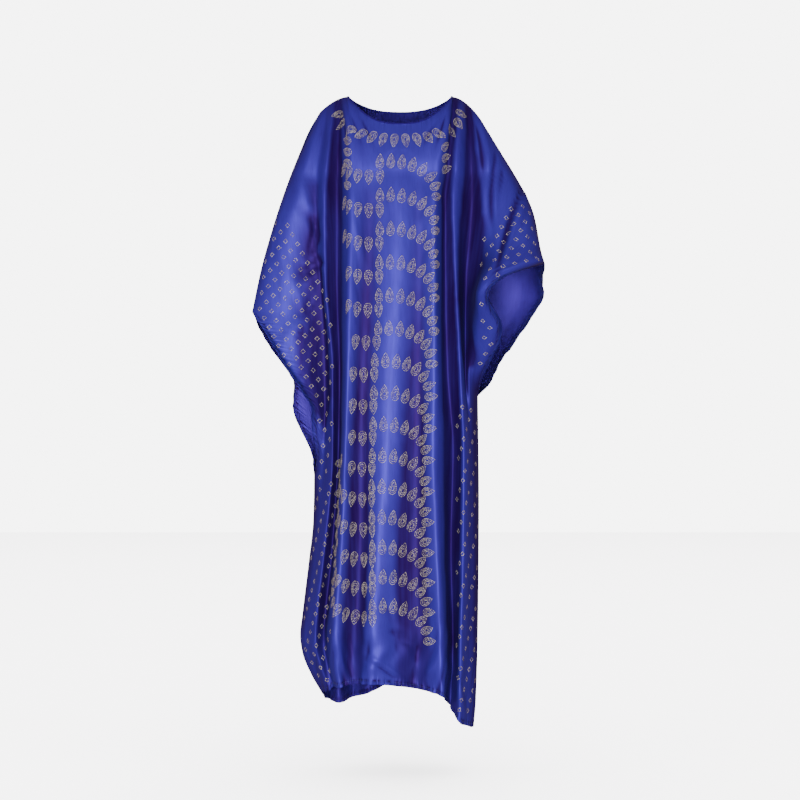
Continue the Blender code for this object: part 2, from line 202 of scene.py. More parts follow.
class Sock:
    """A node socket, or a plain number, that can be used in sums."""

    def __init__(self, shader: "Shader", socket: Any) -> None:
        """Keeps the shader that new nodes are added to and the socket."""
        self.shader = shader
        self.socket = socket

    def _math(self, operation: str, *values: Any) -> "Sock":
        """Adds a Math node.

        Args:
            operation: Blender's name of the operation.
            values: the node's inputs, in order.

        Returns:
            The node's value.
        """
        inputs = dict(enumerate(values))
        return self.shader.add("ShaderNodeMath", {"operation": operation}, inputs)

    def __add__(self, other: Any) -> "Sock":
        """This plus other."""
        return self._math("ADD", self, other)

    def __radd__(self, other: Any) -> "Sock":
        """Other plus this."""
        return self._math("ADD", other, self)

    def __sub__(self, other: Any) -> "Sock":
        """This less other."""
        return self._math("SUBTRACT", self, other)

    def __rsub__(self, other: Any) -> "Sock":
        """Other less this."""
        return self._math("SUBTRACT", other, self)

    def __mul__(self, other: Any) -> "Sock":
        """This times other."""
        return self._math("MULTIPLY", self, other)

    def __rmul__(self, other: Any) -> "Sock":
        """Other times this."""
        return self._math("MULTIPLY", other, self)

    def clamp(self) -> "Sock":
        """This, held between 0 and 1."""
        return self.shader.add("ShaderNodeClamp", {}, {0: self})


class Shader:
    """One material and the nodes that are added to it."""

    def __init__(self, name: str) -> None:
        """Makes the material with its Principled shader and output.

        Args:
            name: name of the material.
        """
        self.material = bpy.data.materials.new(name)
        self.material.use_nodes = True
        self.tree = self.material.node_tree
        self.principled = self.tree.nodes["Principled BSDF"]

    def add(self, kind: str, settings: dict[str, Any], inputs: dict[Any, Any], output: Any = 0) -> Sock:
        """Adds any node.

        Args:
            kind: Blender's type name of the node.
            settings: properties, set before the inputs.
            inputs: a number, colour or Sock for each input's name or number.
            output: name or number of the output that is returned.

        Returns:
            That output.
        """
        node = self.tree.nodes.new(kind)
        for key, value in settings.items():
            setattr(node, key, value)
        for key, value in inputs.items():
            self._feed(node.inputs[key], value)
        return Sock(self, node.outputs[output])

    def _feed(self, socket: Any, value: Any) -> None:
        """Links a Sock to a socket, or sets the socket's own value.

        Args:
            socket: the input.
            value: a Sock, a number or a colour.
        """
        if isinstance(value, Sock):
            self.tree.links.new(value.socket, socket)
        else:
            socket.default_value = value

    def noise(self, vector: Sock, scale: float, detail: float = 2.0, roughness: float = 0.5) -> Sock:
        """A noise texture's value on a vector."""
        inputs = {"Vector": vector, "Scale": scale, "Detail": detail, "Roughness": roughness}
        return self.add("ShaderNodeTexNoise", {"noise_dimensions": "3D"}, inputs, "Fac")

    def stretched(self, vector: Sock, scale: Triple) -> Sock:
        """A vector with each axis scaled."""
        return self.add("ShaderNodeMapping", {}, {"Vector": vector, "Scale": scale}, "Vector")

    def mix(self, share: Any, first: Any, second: Any) -> Sock:
        """Mixes two colours by a share."""
        settings = {"data_type": "RGBA", "clamp_factor": True}
        return self.add("ShaderNodeMix", settings, {0: share, 6: first, 7: second}, 2)

    def bump(self, height: Sock, strength: float, distance: float, under: Sock | None = None) -> Sock:
        """A bump node on a height, over another bump where one is given.

        Args:
            height: what the relief is worked out from.
            strength: share of the relief that is used.
            distance: height in metres of a full step.
            under: the normal of the bump under this one, or None.

        Returns:
            The node's normal.
        """
        inputs: dict[Any, Any] = {"Height": height, "Strength": strength, "Distance": distance}
        if under is not None:
            inputs["Normal"] = under
        return self.add("ShaderNodeBump", {}, inputs, "Normal")

    def finish(self, **values: Any) -> bpy.types.Material:
        """Sets or links the Principled shader's inputs, with _ for a space in their names.

        Args:
            values: number, colour or Sock for each input.

        Returns:
            The material.
        """
        for key, value in values.items():
            self._feed(self.principled.inputs[key.replace("_", " ")], value)
        return self.material


@dataclass(frozen=True)
class SatinFinish:
    """Smooth satin: long floating threads and a soft sheen down the cloth, with painted shade in folds,
    creases, tucks and between threads.
    """

    name: str
    lit: Colour = (0.056, 0.038, 0.39, 1.0)
    # deep is the painted shade colour, mixed in at the floors of folds and creases, between threads and
    # at the tucks
    deep: Colour = (0.021, 0.0022, 0.082, 1.0)
    roughness: float = 0.50
    metallic: float = 0.36
    thread: float = 0.00045  # metres between threads
    pucker: float = 0.0085  # metres between the tucks along a stitched edge
    slub: float = 0.022  # metres, the length of a thicker place in a thread
    float_scale: Triple = (900, 350, 1)  # patches in a metre, across and down: long floating threads
    cloud_scale: Triple = (18, 5, 1)  # soft unevenness
    streak_scale: Triple = (160, 4, 1)  # streaks down the cloth
    crumple_scale: Triple = (13, 8, 1)  # sharp small creases
    painted_shade_gain: float = 1.22  # a valley's painted shade is full a little above its floor
    clouded: Colour = (0.82, 0.58, 0.72, 1.0)  # shares of lit in the darker clouds
    clouding: Triple = (0.9, 0.55, 0.12)  # weights of clouds and streaks, and the even share
    thread_shade: tuple[float, float] = (0.42, 0.8)  # start of the painted shade between threads, and slope
    tuck_shade: tuple[float, float] = (0.43, 7.0)  # the same of the tucks
    rough_streaks: float = 0.16
    rough_clouds: float = 0.10
    weave_relief: tuple[float, float] = (0.22, 0.00012)  # strength, and height in metres
    crumple_relief: tuple[float, float] = (0.30, 0.0016)
    tuck_relief: tuple[float, float] = (1.0, 0.008)
    highlight_tint: Colour = (0.5, 0.38, 1.0, 1.0)
    sheen_tint: Colour = (0.4, 0.45, 1.0, 1.0)

    def build(self) -> bpy.types.Material:
        """Makes the material. It reads the cloth coordinates and run, in metres, and three shares.

        The shares are three attributes: the painted shade of folds and creases, the relief of the
        tucks, and the painted shade of the tucks.

        Returns:
            The material.
        """
        shader = Shader(self.name)
        cloth = shader.add("ShaderNodeUVMap", {"uv_map": "cloth"}, {}, "UV")
        painted_shade, gather, tuck_painted_shade, run = (
            shader.add("ShaderNodeAttribute", {"attribute_name": name}, {}, "Fac")
            for name in ("painted_shade", "gather", "tuck_painted_shade", "run"))
        settings = {"noise_dimensions": "1D"}
        inputs = {"W": run, "Scale": 1 / self.pucker, "Detail": 1.0, "Roughness": 0.6}
        tucks = shader.add("ShaderNodeTexNoise", settings, inputs, "Fac")
        threads = shader.noise(shader.stretched(cloth, (1 / self.thread, 1 / self.slub, 1)), 1.0, 1.0)
        floats = shader.noise(shader.stretched(cloth, self.float_scale), 1.0, 2.0)
        cloud = shader.noise(shader.stretched(cloth, self.cloud_scale), 1.0, 3.0)
        streaks = shader.noise(shader.stretched(cloth, self.streak_scale), 1.0, 2.0)
        # Painted shade: from lit towards deep by the depth of the folds and creases, worked out from
        # the shape.
        tone = shader.mix((painted_shade * self.painted_shade_gain).clamp(), self.lit, self.deep)
        dark = tuple(share * part for share, part in zip(self.clouded, self.lit))
        by_cloud, by_streak, even = self.clouding
        patches = (cloud - 0.5) * by_cloud + (streaks - 0.5) * by_streak + even
        tone = shader.mix(patches.clamp(), tone, dark)
        # Painted shade between the threads.
        start, slope = self.thread_shade
        tone = shader.mix(((threads - start) * slope).clamp(), tone, self.deep)
        # Painted shade of the tucks along stitched edges.
        start, slope = self.tuck_shade
        tone = shader.mix((((tucks - start) * slope).clamp() * tuck_painted_shade).clamp(), tone, self.deep)
        rough = self.roughness + (streaks - 0.5) * self.rough_streaks
        rough = rough + (cloud - 0.5) * self.rough_clouds
        settings = {"noise_dimensions": "2D", "noise_type": "RIDGED_MULTIFRACTAL"}
        vector = shader.stretched(cloth, self.crumple_scale)
        inputs = {"Vector": vector, "Scale": 1.0, "Detail": 3.0, "Gain": 2.0}
        crumple = shader.add("ShaderNodeTexNoise", settings, inputs, "Fac")
        relief = shader.bump(threads + floats * 0.6, *self.weave_relief)
        relief = shader.bump(cloud + streaks * 0.2 + crumple * 0.35, *self.crumple_relief, relief)
        relief = shader.bump(tucks * gather, *self.tuck_relief, relief)
        return shader.finish(
            Base_Color=tone,
            Roughness=rough,
            Metallic=self.metallic,
            Specular_IOR_Level=0.15,
            Specular_Tint=self.highlight_tint,
            Anisotropic=0.35,
            Sheen_Weight=0.02,
            Sheen_Roughness=0.4,
            Sheen_Tint=self.sheen_tint,
            Normal=relief,
        )


@dataclass(frozen=True)
class StudFinish:
    """Small pressed metal studs, each painted at random between a champagne painted glint and an olive
    brown painted shade.
    """

    name: str
    # Lit and shaded tones of the metal, a painted glint and a painted shade, mixed at random per stud.
    glint_tone: Colour = (0.92, 0.81, 0.58, 1.0)
    shaded_tone: Colour = (0.13, 0.095, 0.05, 1.0)
    roughness: float = 0.40
    stud_scale: float = 520.0  # patches in a metre: about one a stud
    patch_scale: float = 40.0
    scratch_scale: float = 6000.0
    spread: tuple[float, float] = (0.39, 3.4)  # where a stud starts to take the painted glint, and the slope

    def build(self) -> bpy.types.Material:
        """Makes the material. A fine noise on Object coordinates gives each stud its own mix of painted
        glint and painted shade.

        Returns:
            The material.
        """
        shader = Shader(self.name)
        place = shader.add("ShaderNodeTexCoord", {}, {}, "Object")
        each = shader.noise(place, self.stud_scale, 0.0)
        patch = shader.noise(place, self.patch_scale, 2.0)
        start, slope = self.spread
        share = ((each - start) * slope + (patch - 0.5) * 0.6).clamp()
        # Painted glint and painted shade, mixed at random per stud.
        tone = shader.mix(share, self.shaded_tone, self.glint_tone)
        scratches = shader.noise(place, self.scratch_scale, 2.0)
        rough = self.roughness + (patch - 0.5) * 0.2 + (scratches - 0.5) * 0.12
        relief = shader.bump(scratches, 0.15, 0.00005)
        return shader.finish(Base_Color=tone, Roughness=rough, Metallic=0.35, Normal=relief)


@dataclass(frozen=True)
class ThreadFinish:
    """Matt sewing thread with its two plies."""

    name: str
    colour: Colour = (0.030, 0.040, 0.26, 1.0)
    between: float = 0.55  # share of the colour in the grooves between the plies, a painted shade
    twist_scale: float = 700.0
    fuzz_scale: float = 2500.0

    def build(self) -> bpy.types.Material:
        """Makes the material. A band wave on Object coordinates is the twist of the plies.

        Returns:
            The material.
        """
        shader = Shader(self.name)
        place = shader.add("ShaderNodeTexCoord", {}, {}, "Object")
        settings = {"wave_type": "BANDS", "bands_direction": "DIAGONAL"}
        inputs = {"Vector": place, "Scale": self.twist_scale}
        twist = shader.add("ShaderNodeTexWave", settings, inputs, "Fac")
        fuzz = shader.noise(place, self.fuzz_scale, 2.0)
        # Painted shade in the grooves between the plies.
        shade = tuple(self.between * part for part in self.colour[:3]) + (1.0,)
        tone = shader.mix((twist * 0.6 + fuzz * 0.4).clamp(), shade, self.colour)
        relief = shader.bump(twist + fuzz * 0.3, 0.4, 0.0001)
        rough = 0.62 + (fuzz - 0.5) * 0.2
        return shader.finish(Base_Color=tone, Roughness=rough, Sheen_Weight=0.2, Normal=relief)


@dataclass(frozen=True)
class StudioFinish:
    """Plain matt paper of the studio's floor."""

    name: str
    colour: Colour = (0.92, 0.92, 0.92, 1.0)

    def build(self) -> bpy.types.Material:
        """Makes the material, with a faint unevenness on Object coordinates.

        Returns:
            The material.
        """
        shader = Shader(self.name)
        place = shader.add("ShaderNodeTexCoord", {}, {}, "Object")
        grain = shader.noise(place, 3.0, 3.0)
        shade = tuple(0.97 * part for part in self.colour[:3]) + (1.0,)
        tone = shader.mix(grain, self.colour, shade)
        return shader.finish(Base_Color=tone, Roughness=0.85)


# The cut and its folds.

# The neck edge is an oval. Sizes in mm.
NECK_HALF_WIDTH = 119.0
NECK_POINT_HEIGHT = 16.0
NECK_FRONT_REACH = 82.0
NECK_BACK_REACH = 70.0
NECK_FRONT_DROP = 71.0
NECK_BACK_DROP = 28.0
NECK_DROP_POWER = 2.6
SHOULDER_TIP = 180.0
SHOULDER_DROP_LEFT = 34.0
SHOULDER_DROP_RIGHT = 48.0
SHOULDER_POWER = 1.7
SHOULDER_ROUNDING = 0.62

# Seam lines and open sleeve edges. Each row is (height, across, depth).
Stations = tuple[Triple, ...]
OVERARM_LEFT: Stations = (
    (-18, -180, 0), (-61, -205, 0), (-108, -225, 0), (-171, -250, -3), (-241, -274, -8),
    (-307, -294, -12), (-375, -312, -18), (-469, -331, -30))
OVERARM_RIGHT: Stations = (
    (-32, 180, 0), (-72, 202, 0), (-106, 225, 0), (-176, 268, 0), (-209, 286, 0),
    (-250, 302, 0), (-328, 317, 0), (-361, 325, -20))
SIDE_LEFT: Stations = (
    (-834, -193, -10), (-891, -194, 0), (-947, -196, 0), (-1026, -205, 0), (-1150, -220, 0),
    (-1195, -225, 0), (-1233, -220, 0), (-1287, -198, 0), (-1318, -180, 0))
SIDE_RIGHT: Stations = (
    (-657, 175, -10), (-711, 176, 0), (-891, 178, 0), (-1138, 176, 0), (-1341, 171, 0),
    (-1400, 166, 0))
CUFF_FRONT_LEFT: Stations = (
    (-506, -306, -65), (-553, -277, -80), (-608, -243, -85), (-659, -210, -80),
    (-684, -197, -70), (-733, -196, -50), (-782, -186, -30))
CUFF_BACK_LEFT: Stations = (
    (-497, -321, 20), (-552, -291, 45), (-602, -255, 60), (-630, -242, 65), (-682, -244, 60),
    (-721, -232, 50), (-766, -208, 35), (-806, -196, 15))
CUFF_FRONT_RIGHT: Stations = (
    (-375, 287, -100), (-387, 251, -155), (-400, 223, -190), (-418, 200, -215),
    (-440, 189, -215), (-471, 203, -190), (-502, 223, -150), (-532, 222, -120),
    (-573, 204, -80), (-624, 181, -40))
CUFF_BACK_RIGHT: Stations = (
    (-395, 322, 10), (-429, 326, 25), (-446, 319, 30), (-485, 295, 40), (-534, 261, 45),
    (-582, 227, 35), (-632, 201, 15))

# Lines down the middle of the cloth, which the studs are laid out from.
CENTRE_LINE_FRONT: Stations = (
    (-40, -44, 0), (-140, -44, 0), (-506, -48, 0), (-577, -55, 0), (-720, -59, 0),
    (-850, -62, 0), (-1120, -61, 0), (-1300, -60, 0))
CENTRE_LINE_BACK: Stations = ((-40, 0, 0), (-1300, 0, 0))


@dataclass(frozen=True)
class Fold:
    """One fold line of a panel: where it starts across the top, how low its hem is, its course."""

    name: str
    start: float
    hem: float
    course: Stations


FRONT_FOLDS = (
    Fold("sleeve_valley", -162, -1316, (
        (-75, -183, -40), (-221, -187, -55), (-399, -178, -50), (-599, -167, -52),
        (-688, -166, -52), (-778, -168, -50), (-890, -176, -46), (-1000, -186, -44),
        (-1198, -206, -42), (-1318, -168, -36))),
    Fold("sleeve_ridge", -148, -1312, (
        (-75, -156, -48), (-223, -168, -82), (-400, -166, -80), (-600, -150, -85),
        (-777, -150, -84), (-998, -168, -82), (-1198, -188, -78), (-1318, -156, -62))),
    Fold("side_valley", -136, -1302, (
        (-75, -134, -45), (-222, -138, -62), (-399, -138, -60), (-600, -133, -70),
        (-777, -136, -64), (-1000, -150, -60), (-1201, -168, -56), (-1318, -144, -66))),
    Fold("panel_left_edge", -119, -1298, (
        (-78, -111, -65), (-227, -108, -120), (-403, -112, -130), (-600, -116, -135),
        (-775, -121, -135), (-994, -130, -135), (-1192, -144, -130), (-1300, -132, -118))),
    Fold("panel_left_dip", -58, -1291, (
        (-80, -55, -88), (-227, -62, -112), (-403, -72, -118), (-600, -80, -120),
        (-776, -86, -118), (-996, -88, -112), (-1194, -98, -108), (-1300, -96, -108))),
    Fold("centre_crest", -6, -1289, (
        (-81, -2, -98), (-227, -6, -126), (-403, -12, -136), (-600, -20, -140),
        (-775, -30, -142), (-994, -46, -142), (-1191, -58, -140), (-1300, -60, -138))),
    Fold("panel_right_dip", 50, -1303, (
        (-80, 53, -88), (-227, 42, -118), (-403, 40, -125), (-600, 37, -126),
        (-776, 36, -122), (-996, 33, -114), (-1194, 38, -106), (-1300, 40, -104))),
    Fold("panel_right_edge", 100, -1316, (
        (-78, 102, -66), (-228, 76, -128), (-404, 76, -140), (-600, 77, -145),
        (-775, 75, -145), (-994, 82, -142), (-1191, 89, -140), (-1310, 92, -138))),
    Fold("deep_valley", 119, -1344, (
        (-75, 123, -58), (-223, 99, -88), (-401, 99, -86), (-600, 104, -88),
        (-777, 116, -78), (-999, 112, -68), (-1200, 117, -60), (-1340, 110, -60))),
    Fold("side_ridge", 136, -1378, (
        (-76, 138, -62), (-225, 120, -102), (-402, 124, -105), (-600, 133, -115),
        (-776, 140, -115), (-996, 139, -110), (-1195, 134, -105), (-1370, 131, -95))),
    Fold("side_hollow", 152, -1390, (
        (-75, 156, -42), (-221, 158, -60), (-399, 146, -62), (-599, 144, -66),
        (-777, 156, -66), (-1000, 157, -60), (-1200, 153, -58), (-1380, 147, -58))),
    Fold("sleeve_crest", 164, -1395, (
        (-75, 171, -44), (-223, 188, -82), (-357, 178, -92), (-445, 158, -95),
        (-599, 153, -76), (-777, 163, -52), (-1000, 167, -44), (-1200, 164, -44),
        (-1390, 156, -44))),
    Fold("raised_sleeve_crest", 171, -1398, (
        (-73, 195, -34), (-223, 237, -75), (-315, 224, -120), (-361, 211, -165),
        (-387, 192, -186), (-418, 174, -196), (-440, 168, -190), (-492, 172, -156),
        (-556, 172, -104), (-621, 166, -60), (-700, 169, -36), (-1000, 173, -28),
        (-1200, 171, -28), (-1395, 161, -28))),
)

BACK_FOLDS = (
    Fold("sleeve_valley", -166, -1340, (
        (-75, -178, 34), (-200, -190, 50), (-400, -184, 48), (-600, -174, 50),
        (-800, -180, 44), (-1000, -186, 42), (-1200, -206, 42), (-1340, -172, 40))),
    Fold("sleeve_ridge", -152, -1352, (
        (-75, -158, 44), (-200, -162, 82), (-400, -160, 85), (-600, -152, 90),
        (-800, -156, 92), (-1000, -162, 94), (-1200, -178, 96), (-1350, -160, 92))),
    Fold("side_valley", -136, -1356, (
        (-75, -134, 42), (-200, -134, 64), (-400, -132, 66), (-600, -128, 70),
        (-800, -131, 68), (-1000, -135, 64), (-1200, -144, 60), (-1350, -138, 62))),
    Fold("left_crest", -119, -1350, (
        (-75, -108, 66), (-200, -104, 110), (-400, -104, 118), (-600, -103, 122),
        (-800, -103, 125), (-1000, -105, 127), (-1200, -110, 128), (-1350, -108, 124))),
    Fold("left_dip", -66, -1338, (
        (-70, -62, 80), (-200, -62, 98), (-400, -66, 98), (-600, -68, 96),
        (-800, -70, 94), (-1000, -70, 92), (-1200, -72, 90), (-1335, -72, 92))),
    Fold("middle_left_crest", -24, -1324, (
        (-66, -24, 88), (-200, -25, 112), (-400, -28, 117), (-600, -30, 120),
        (-800, -32, 123), (-1000, -34, 126), (-1200, -36, 130), (-1320, -36, 130))),
    Fold("middle_dip", 14, -1316, (
        (-66, 13, 88), (-200, 12, 104), (-400, 10, 100), (-600, 8, 97),
        (-800, 6, 95), (-1000, 4, 93), (-1200, 2, 92), (-1315, 2, 94))),
    Fold("middle_right_crest", 54, -1316, (
        (-70, 50, 82), (-200, 49, 112), (-400, 48, 117), (-600, 46, 121),
        (-800, 46, 125), (-1000, 46, 128), (-1200, 46, 131), (-1315, 46, 130))),
    Fold("right_dip", 92, -1322, (
        (-72, 84, 68), (-200, 82, 90), (-400, 82, 86), (-600, 84, 82),
        (-800, 86, 80), (-1000, 88, 78), (-1200, 88, 76), (-1320, 86, 80))),
    Fold("right_crest", 119, -1338, (
        (-75, 112, 54), (-200, 112, 102), (-400, 114, 110), (-600, 116, 115),
        (-800, 118, 118), (-1000, 120, 120), (-1200, 120, 121), (-1335, 118, 118))),
    Fold("side_valley_right", 139, -1362, (
        (-75, 140, 42), (-200, 141, 66), (-400, 142, 64), (-600, 142, 62),
        (-800, 144, 60), (-1000, 146, 58), (-1200, 145, 57), (-1360, 140, 58))),
    Fold("sleeve_ridge_right", 158, -1386, (
        (-75, 164, 36), (-200, 172, 78), (-400, 168, 76), (-600, 160, 70),
        (-800, 162, 62), (-1000, 163, 62), (-1200, 160, 62), (-1385, 152, 60))),
)

# Rows: share of the way to the outermost fold, share of its depth, bulge, share where narrow.
EDGE_LINES = ((0.10, 0.62, 6.0, 0.28), (0.48, 0.90, 12.0, 0.62))
BULGE_FULL_WIDTH = 90.0
YOKE_HEIGHT = -165.0
KNEE_HEIGHT = -1200.0

# What rounds the crests: weights of a running mean over 11 columns, and over how many columns from
# a side and rows from the top it sets in.
ROUNDING_WEIGHTS = np.array([1, 3, 6, 9, 11, 12, 11, 9, 6, 3, 1]) / 72
ROUNDING_FROM_SIDE = 14
ROUNDING_FROM_TOP = 24

# Ripples: what a step down counts against one across, shortest and longest in metres, own seed.
WAVES = 9
Ripples = tuple[float, float, float, int]
LONG_RIPPLES: Ripples = (0.16, 0.024, 0.090, 0)
FINE_RIPPLES: Ripples = (0.5, 0.012, 0.03, 1)
LOOSE_RIPPLES: Ripples = (0.7, 0.034, 0.12, 7)

# Puckers of a stitched edge and gathers of the neck: waves, shortest and longest in metres, seed.
Puckers = tuple[int, float, float, int]
PUCKERS: Puckers = (6, 0.014, 0.034, 2)
GATHERS: Puckers = (5, 0.012, 0.024, 5)

# Look-up tables of places on the cloth, in metres.
TABLE_STEP = 0.002
ARC_LOW, ARC_HIGH = -0.9, 0.9
FAR_LOW, FAR_HIGH = -0.4, 0.4
HEIGHT_LOW, HEIGHT_HIGH = -1.45, 0.05
DOWN_HIGH = 1.5


def course(stations: Stations, heights: Array) -> Array:
    """(across, depth) of a line through its stations, at each height."""
    table = np.array(sorted(stations), float)
    return monotone(table[:, 0], table[:, 1:], heights)


def top_edge(across: Array, side: Side) -> tuple[Array, Array]:
    """Depth and height of the neck edge and shoulder seam at each place across.

    The neck edge is half an ellipse in plan. Its height falls from the neck point by a power of
    the share across. Past the neck point the shoulder falls by another power.

    Args:
        across: places in mm.
        side: the front or the back.

    Returns:
        Depth and height, in mm.
    """
    front = side is Side.FRONT
    share = np.clip(np.abs(across) / NECK_HALF_WIDTH, 0, 1)
    drop = NECK_FRONT_DROP if front else NECK_BACK_DROP
    reach = NECK_FRONT_REACH if front else NECK_BACK_REACH
    past = np.clip((np.abs(across) - NECK_HALF_WIDTH) / (SHOULDER_TIP - NECK_HALF_WIDTH), 0, 1)
    shoulder = np.where(across < 0, SHOULDER_DROP_LEFT, SHOULDER_DROP_RIGHT)
    height = NECK_POINT_HEIGHT - drop * (1 - share**NECK_DROP_POWER) - shoulder * past**SHOULDER_POWER
    return side.value * reach * np.sqrt(1 - share**2), height


@dataclass
class ClothPanel:
    """The front or the back of the robe, cut in one with its half of both sleeves."""

    node: str
    side: Side
    folds: tuple[Fold, ...]
    cuff_left: Stations
    cuff_right: Stations
    centre_line: Stations
    flat: tuple[float, float]
    flat_area: float
    columns: int = 17  # between each line and the next
    yoke_rows: int = 34
    level_step: float = 12.0  # mm
    hem_rows: int = 30
    wall: float = 1.0 * MM
    seam_overlap: float = 0.06 * MM  # so that no light shows through a sewn seam
    hem_width: float = 9.0 * MM
    hem_extra: float = 0.9 * MM  # how much thicker the turned hem is
    fold_depths: tuple[float, float] = (3 * MM, 23 * MM)  # where a fold's painted shade starts and is full
    crease_depths: tuple[float, float] = (0.5 * MM, 3.2 * MM)  # the same of a crease
    crease_shade: float = 0.75  # full painted shade of a crease against that of a fold
    lone_shade: float = 0.25  # what the larger depth counts beside a lone ridge
    inside_shade: float = 0.60  # painted shade of the cloth's inside, which little light reaches
    long_rise: float = 0.42 * MM  # height of the long ripples
    fine_rise: float = 0.12 * MM
    loose_rise: tuple[float, float] = (0.35, 1.3)  # mm everywhere, and mm more near the hem
    hem_rise: float = 1.1  # mm, of the puckers along a stitched edge
    neck_rise: float = 0.9  # mm, of the gathers at the neck
    turned_rise: float = 0.35  # mm that a turned hem stands out
    stitch_dip: float = 0.45  # mm that the stitches pull in
    loose_hem: tuple[float, float] = (0.26, 0.04)  # metres from the hem, where it starts and is full
    stitch_reach: float = 1.6 * MM
    gather_reach: tuple[float, float] = (9 * MM, 15 * MM)  # of the tucks' relief, hem and neck
    hem_reach: float = 14 * MM
    neck_reach: float = 22 * MM
    seam_reach: float = 12 * MM  # where a seam still holds the cloth flat
    fold_look: tuple[float, int] = (4 * MM, 22)  # step, and steps to each side where folds are sought
    crease_look: tuple[float, int] = (1.5 * MM, 8)
    hem_lit: Triple = (0.4, 0.22, 0.05)  # share less painted shade near the hem, where it starts and is full
    seed: int = 3
    outer: Array = field(init=False, repr=False)
    normals: Array = field(init=False, repr=False)
    cloth: Array = field(init=False, repr=False)

    def __post_init__(self) -> None:
        """Works the surface out: rows, lines, relief, normals and cloth coordinates."""
        self.shares = np.linspace(0, 1, self.yoke_rows, endpoint=False) ** 1.7
        corners = (OVERARM_RIGHT[-1][0], OVERARM_LEFT[-1][0], SIDE_RIGHT[0][0], SIDE_LEFT[0][0])
        stops = (YOKE_HEIGHT, *map(float, corners), KNEE_HEIGHT)
        runs = [
            np.linspace(a, b, round((a - b) / self.level_step), endpoint=False)
            for a, b in zip(stops[:-1], stops[1:])]
        self.levels = np.concatenate([*runs, [KNEE_HEIGHT]])
        self.hem_shares = 1 - (1 - np.linspace(0, 1, self.hem_rows + 1)[1:]) ** 1.5
        left = self._edge(OVERARM_LEFT, self.cuff_left, SIDE_LEFT)
        right = self._edge(OVERARM_RIGHT, self.cuff_right, SIDE_RIGHT)
        smooth = self._surface(left, right)
        sewn = [self._sewn(edge, arm, seam) for edge, arm, seam in (
            (left, OVERARM_LEFT, SIDE_LEFT), (right, OVERARM_RIGHT, SIDE_RIGHT))]
        self.cloth = self._cloth_coordinates(smooth)
        plain = self._normals(smooth, *sewn)
        relief, self.from_edge = self._relief(smooth, *sewn)
        self.relief = relief
        self.outer = smooth + plain * relief[..., None]
        self.outer[..., 1] -= self.side.value * self.seam_overlap / 2
        self.normals = self._normals(self.outer, *sewn)
        # Painted shade of each point, from the depth of its folds and creases.
        self.painted_shade = self._painted_shade()

    @property
    def rows(self) -> int:
        """Number of rows of points."""
        return len(self.shares) + len(self.levels) + len(self.hem_shares)

    def _heights(self, top: float, hem: float) -> Array:
        """Height of each row on a line that runs from top to hem: fanned, level, then fanned again.

        Args:
            top: height in mm where the line starts.
            hem: height in mm where it ends.

        Returns:
            Height of each row, in mm.
        """
        yoke = top + (YOKE_HEIGHT - top) * self.shares
        hems = KNEE_HEIGHT + (hem - KNEE_HEIGHT) * self.hem_shares
        return np.concatenate([yoke, self.levels, hems])

    def _edge(self, overarm: Stations, cuff: Stations, seam: Stations) -> Array:
        """One edge of the panel at every row: the overarm seam, the open cuff, then the side seam.

        Args:
            overarm: stations of the overarm seam.
            cuff: stations of the open cuff.
            seam: stations of the side seam.

        Returns:
            (row, 3) array in mm.
        """
        heights = self._heights(overarm[0][0], seam[-1][0])
        on_arm, on_side = heights >= overarm[-1][0], heights <= seam[0][0]
        middle = course(overarm[-1:] + cuff + seam[:1], heights)
        arm, side = course(overarm, heights), course(seam, heights)
        flat = np.where(on_arm[:, None], arm, np.where(on_side[:, None], side, middle))
        return np.column_stack([flat, heights])

    def _sewn(self, edge: Array, overarm: Stations, seam: Stations) -> Array:
        """Which rows of an edge are sewn to the other panel."""
        return (edge[:, 2] >= overarm[-1][0]) | (edge[:, 2] <= seam[0][0])

    def _beside(
        self, edge: Array, fold: Array, share: float, deep: float, bulge: float, narrow: float
    ) -> Array:
        """A line between an edge and the outermost fold, which bulges out where the strip is wide.

        Args:
            edge: points of the panel's edge, in mm.
            fold: points of the outermost fold.
            share: share of the way from the edge to the fold.
            deep: share of the way in depth.
            bulge: mm that the line stands out.
            narrow: share of the way where the strip is narrow.

        Returns:
            (row, 3) array in mm.
        """
        full = np.clip(np.abs(fold[:, 0] - edge[:, 0]) / BULGE_FULL_WIDTH, 0, 1)[:, None]
        line = edge + (fold - edge) * (np.array([share, deep, share]) * full + narrow * (1 - full))
        line[:, 1] += self.side.value * bulge * full[:, 0]
        return line

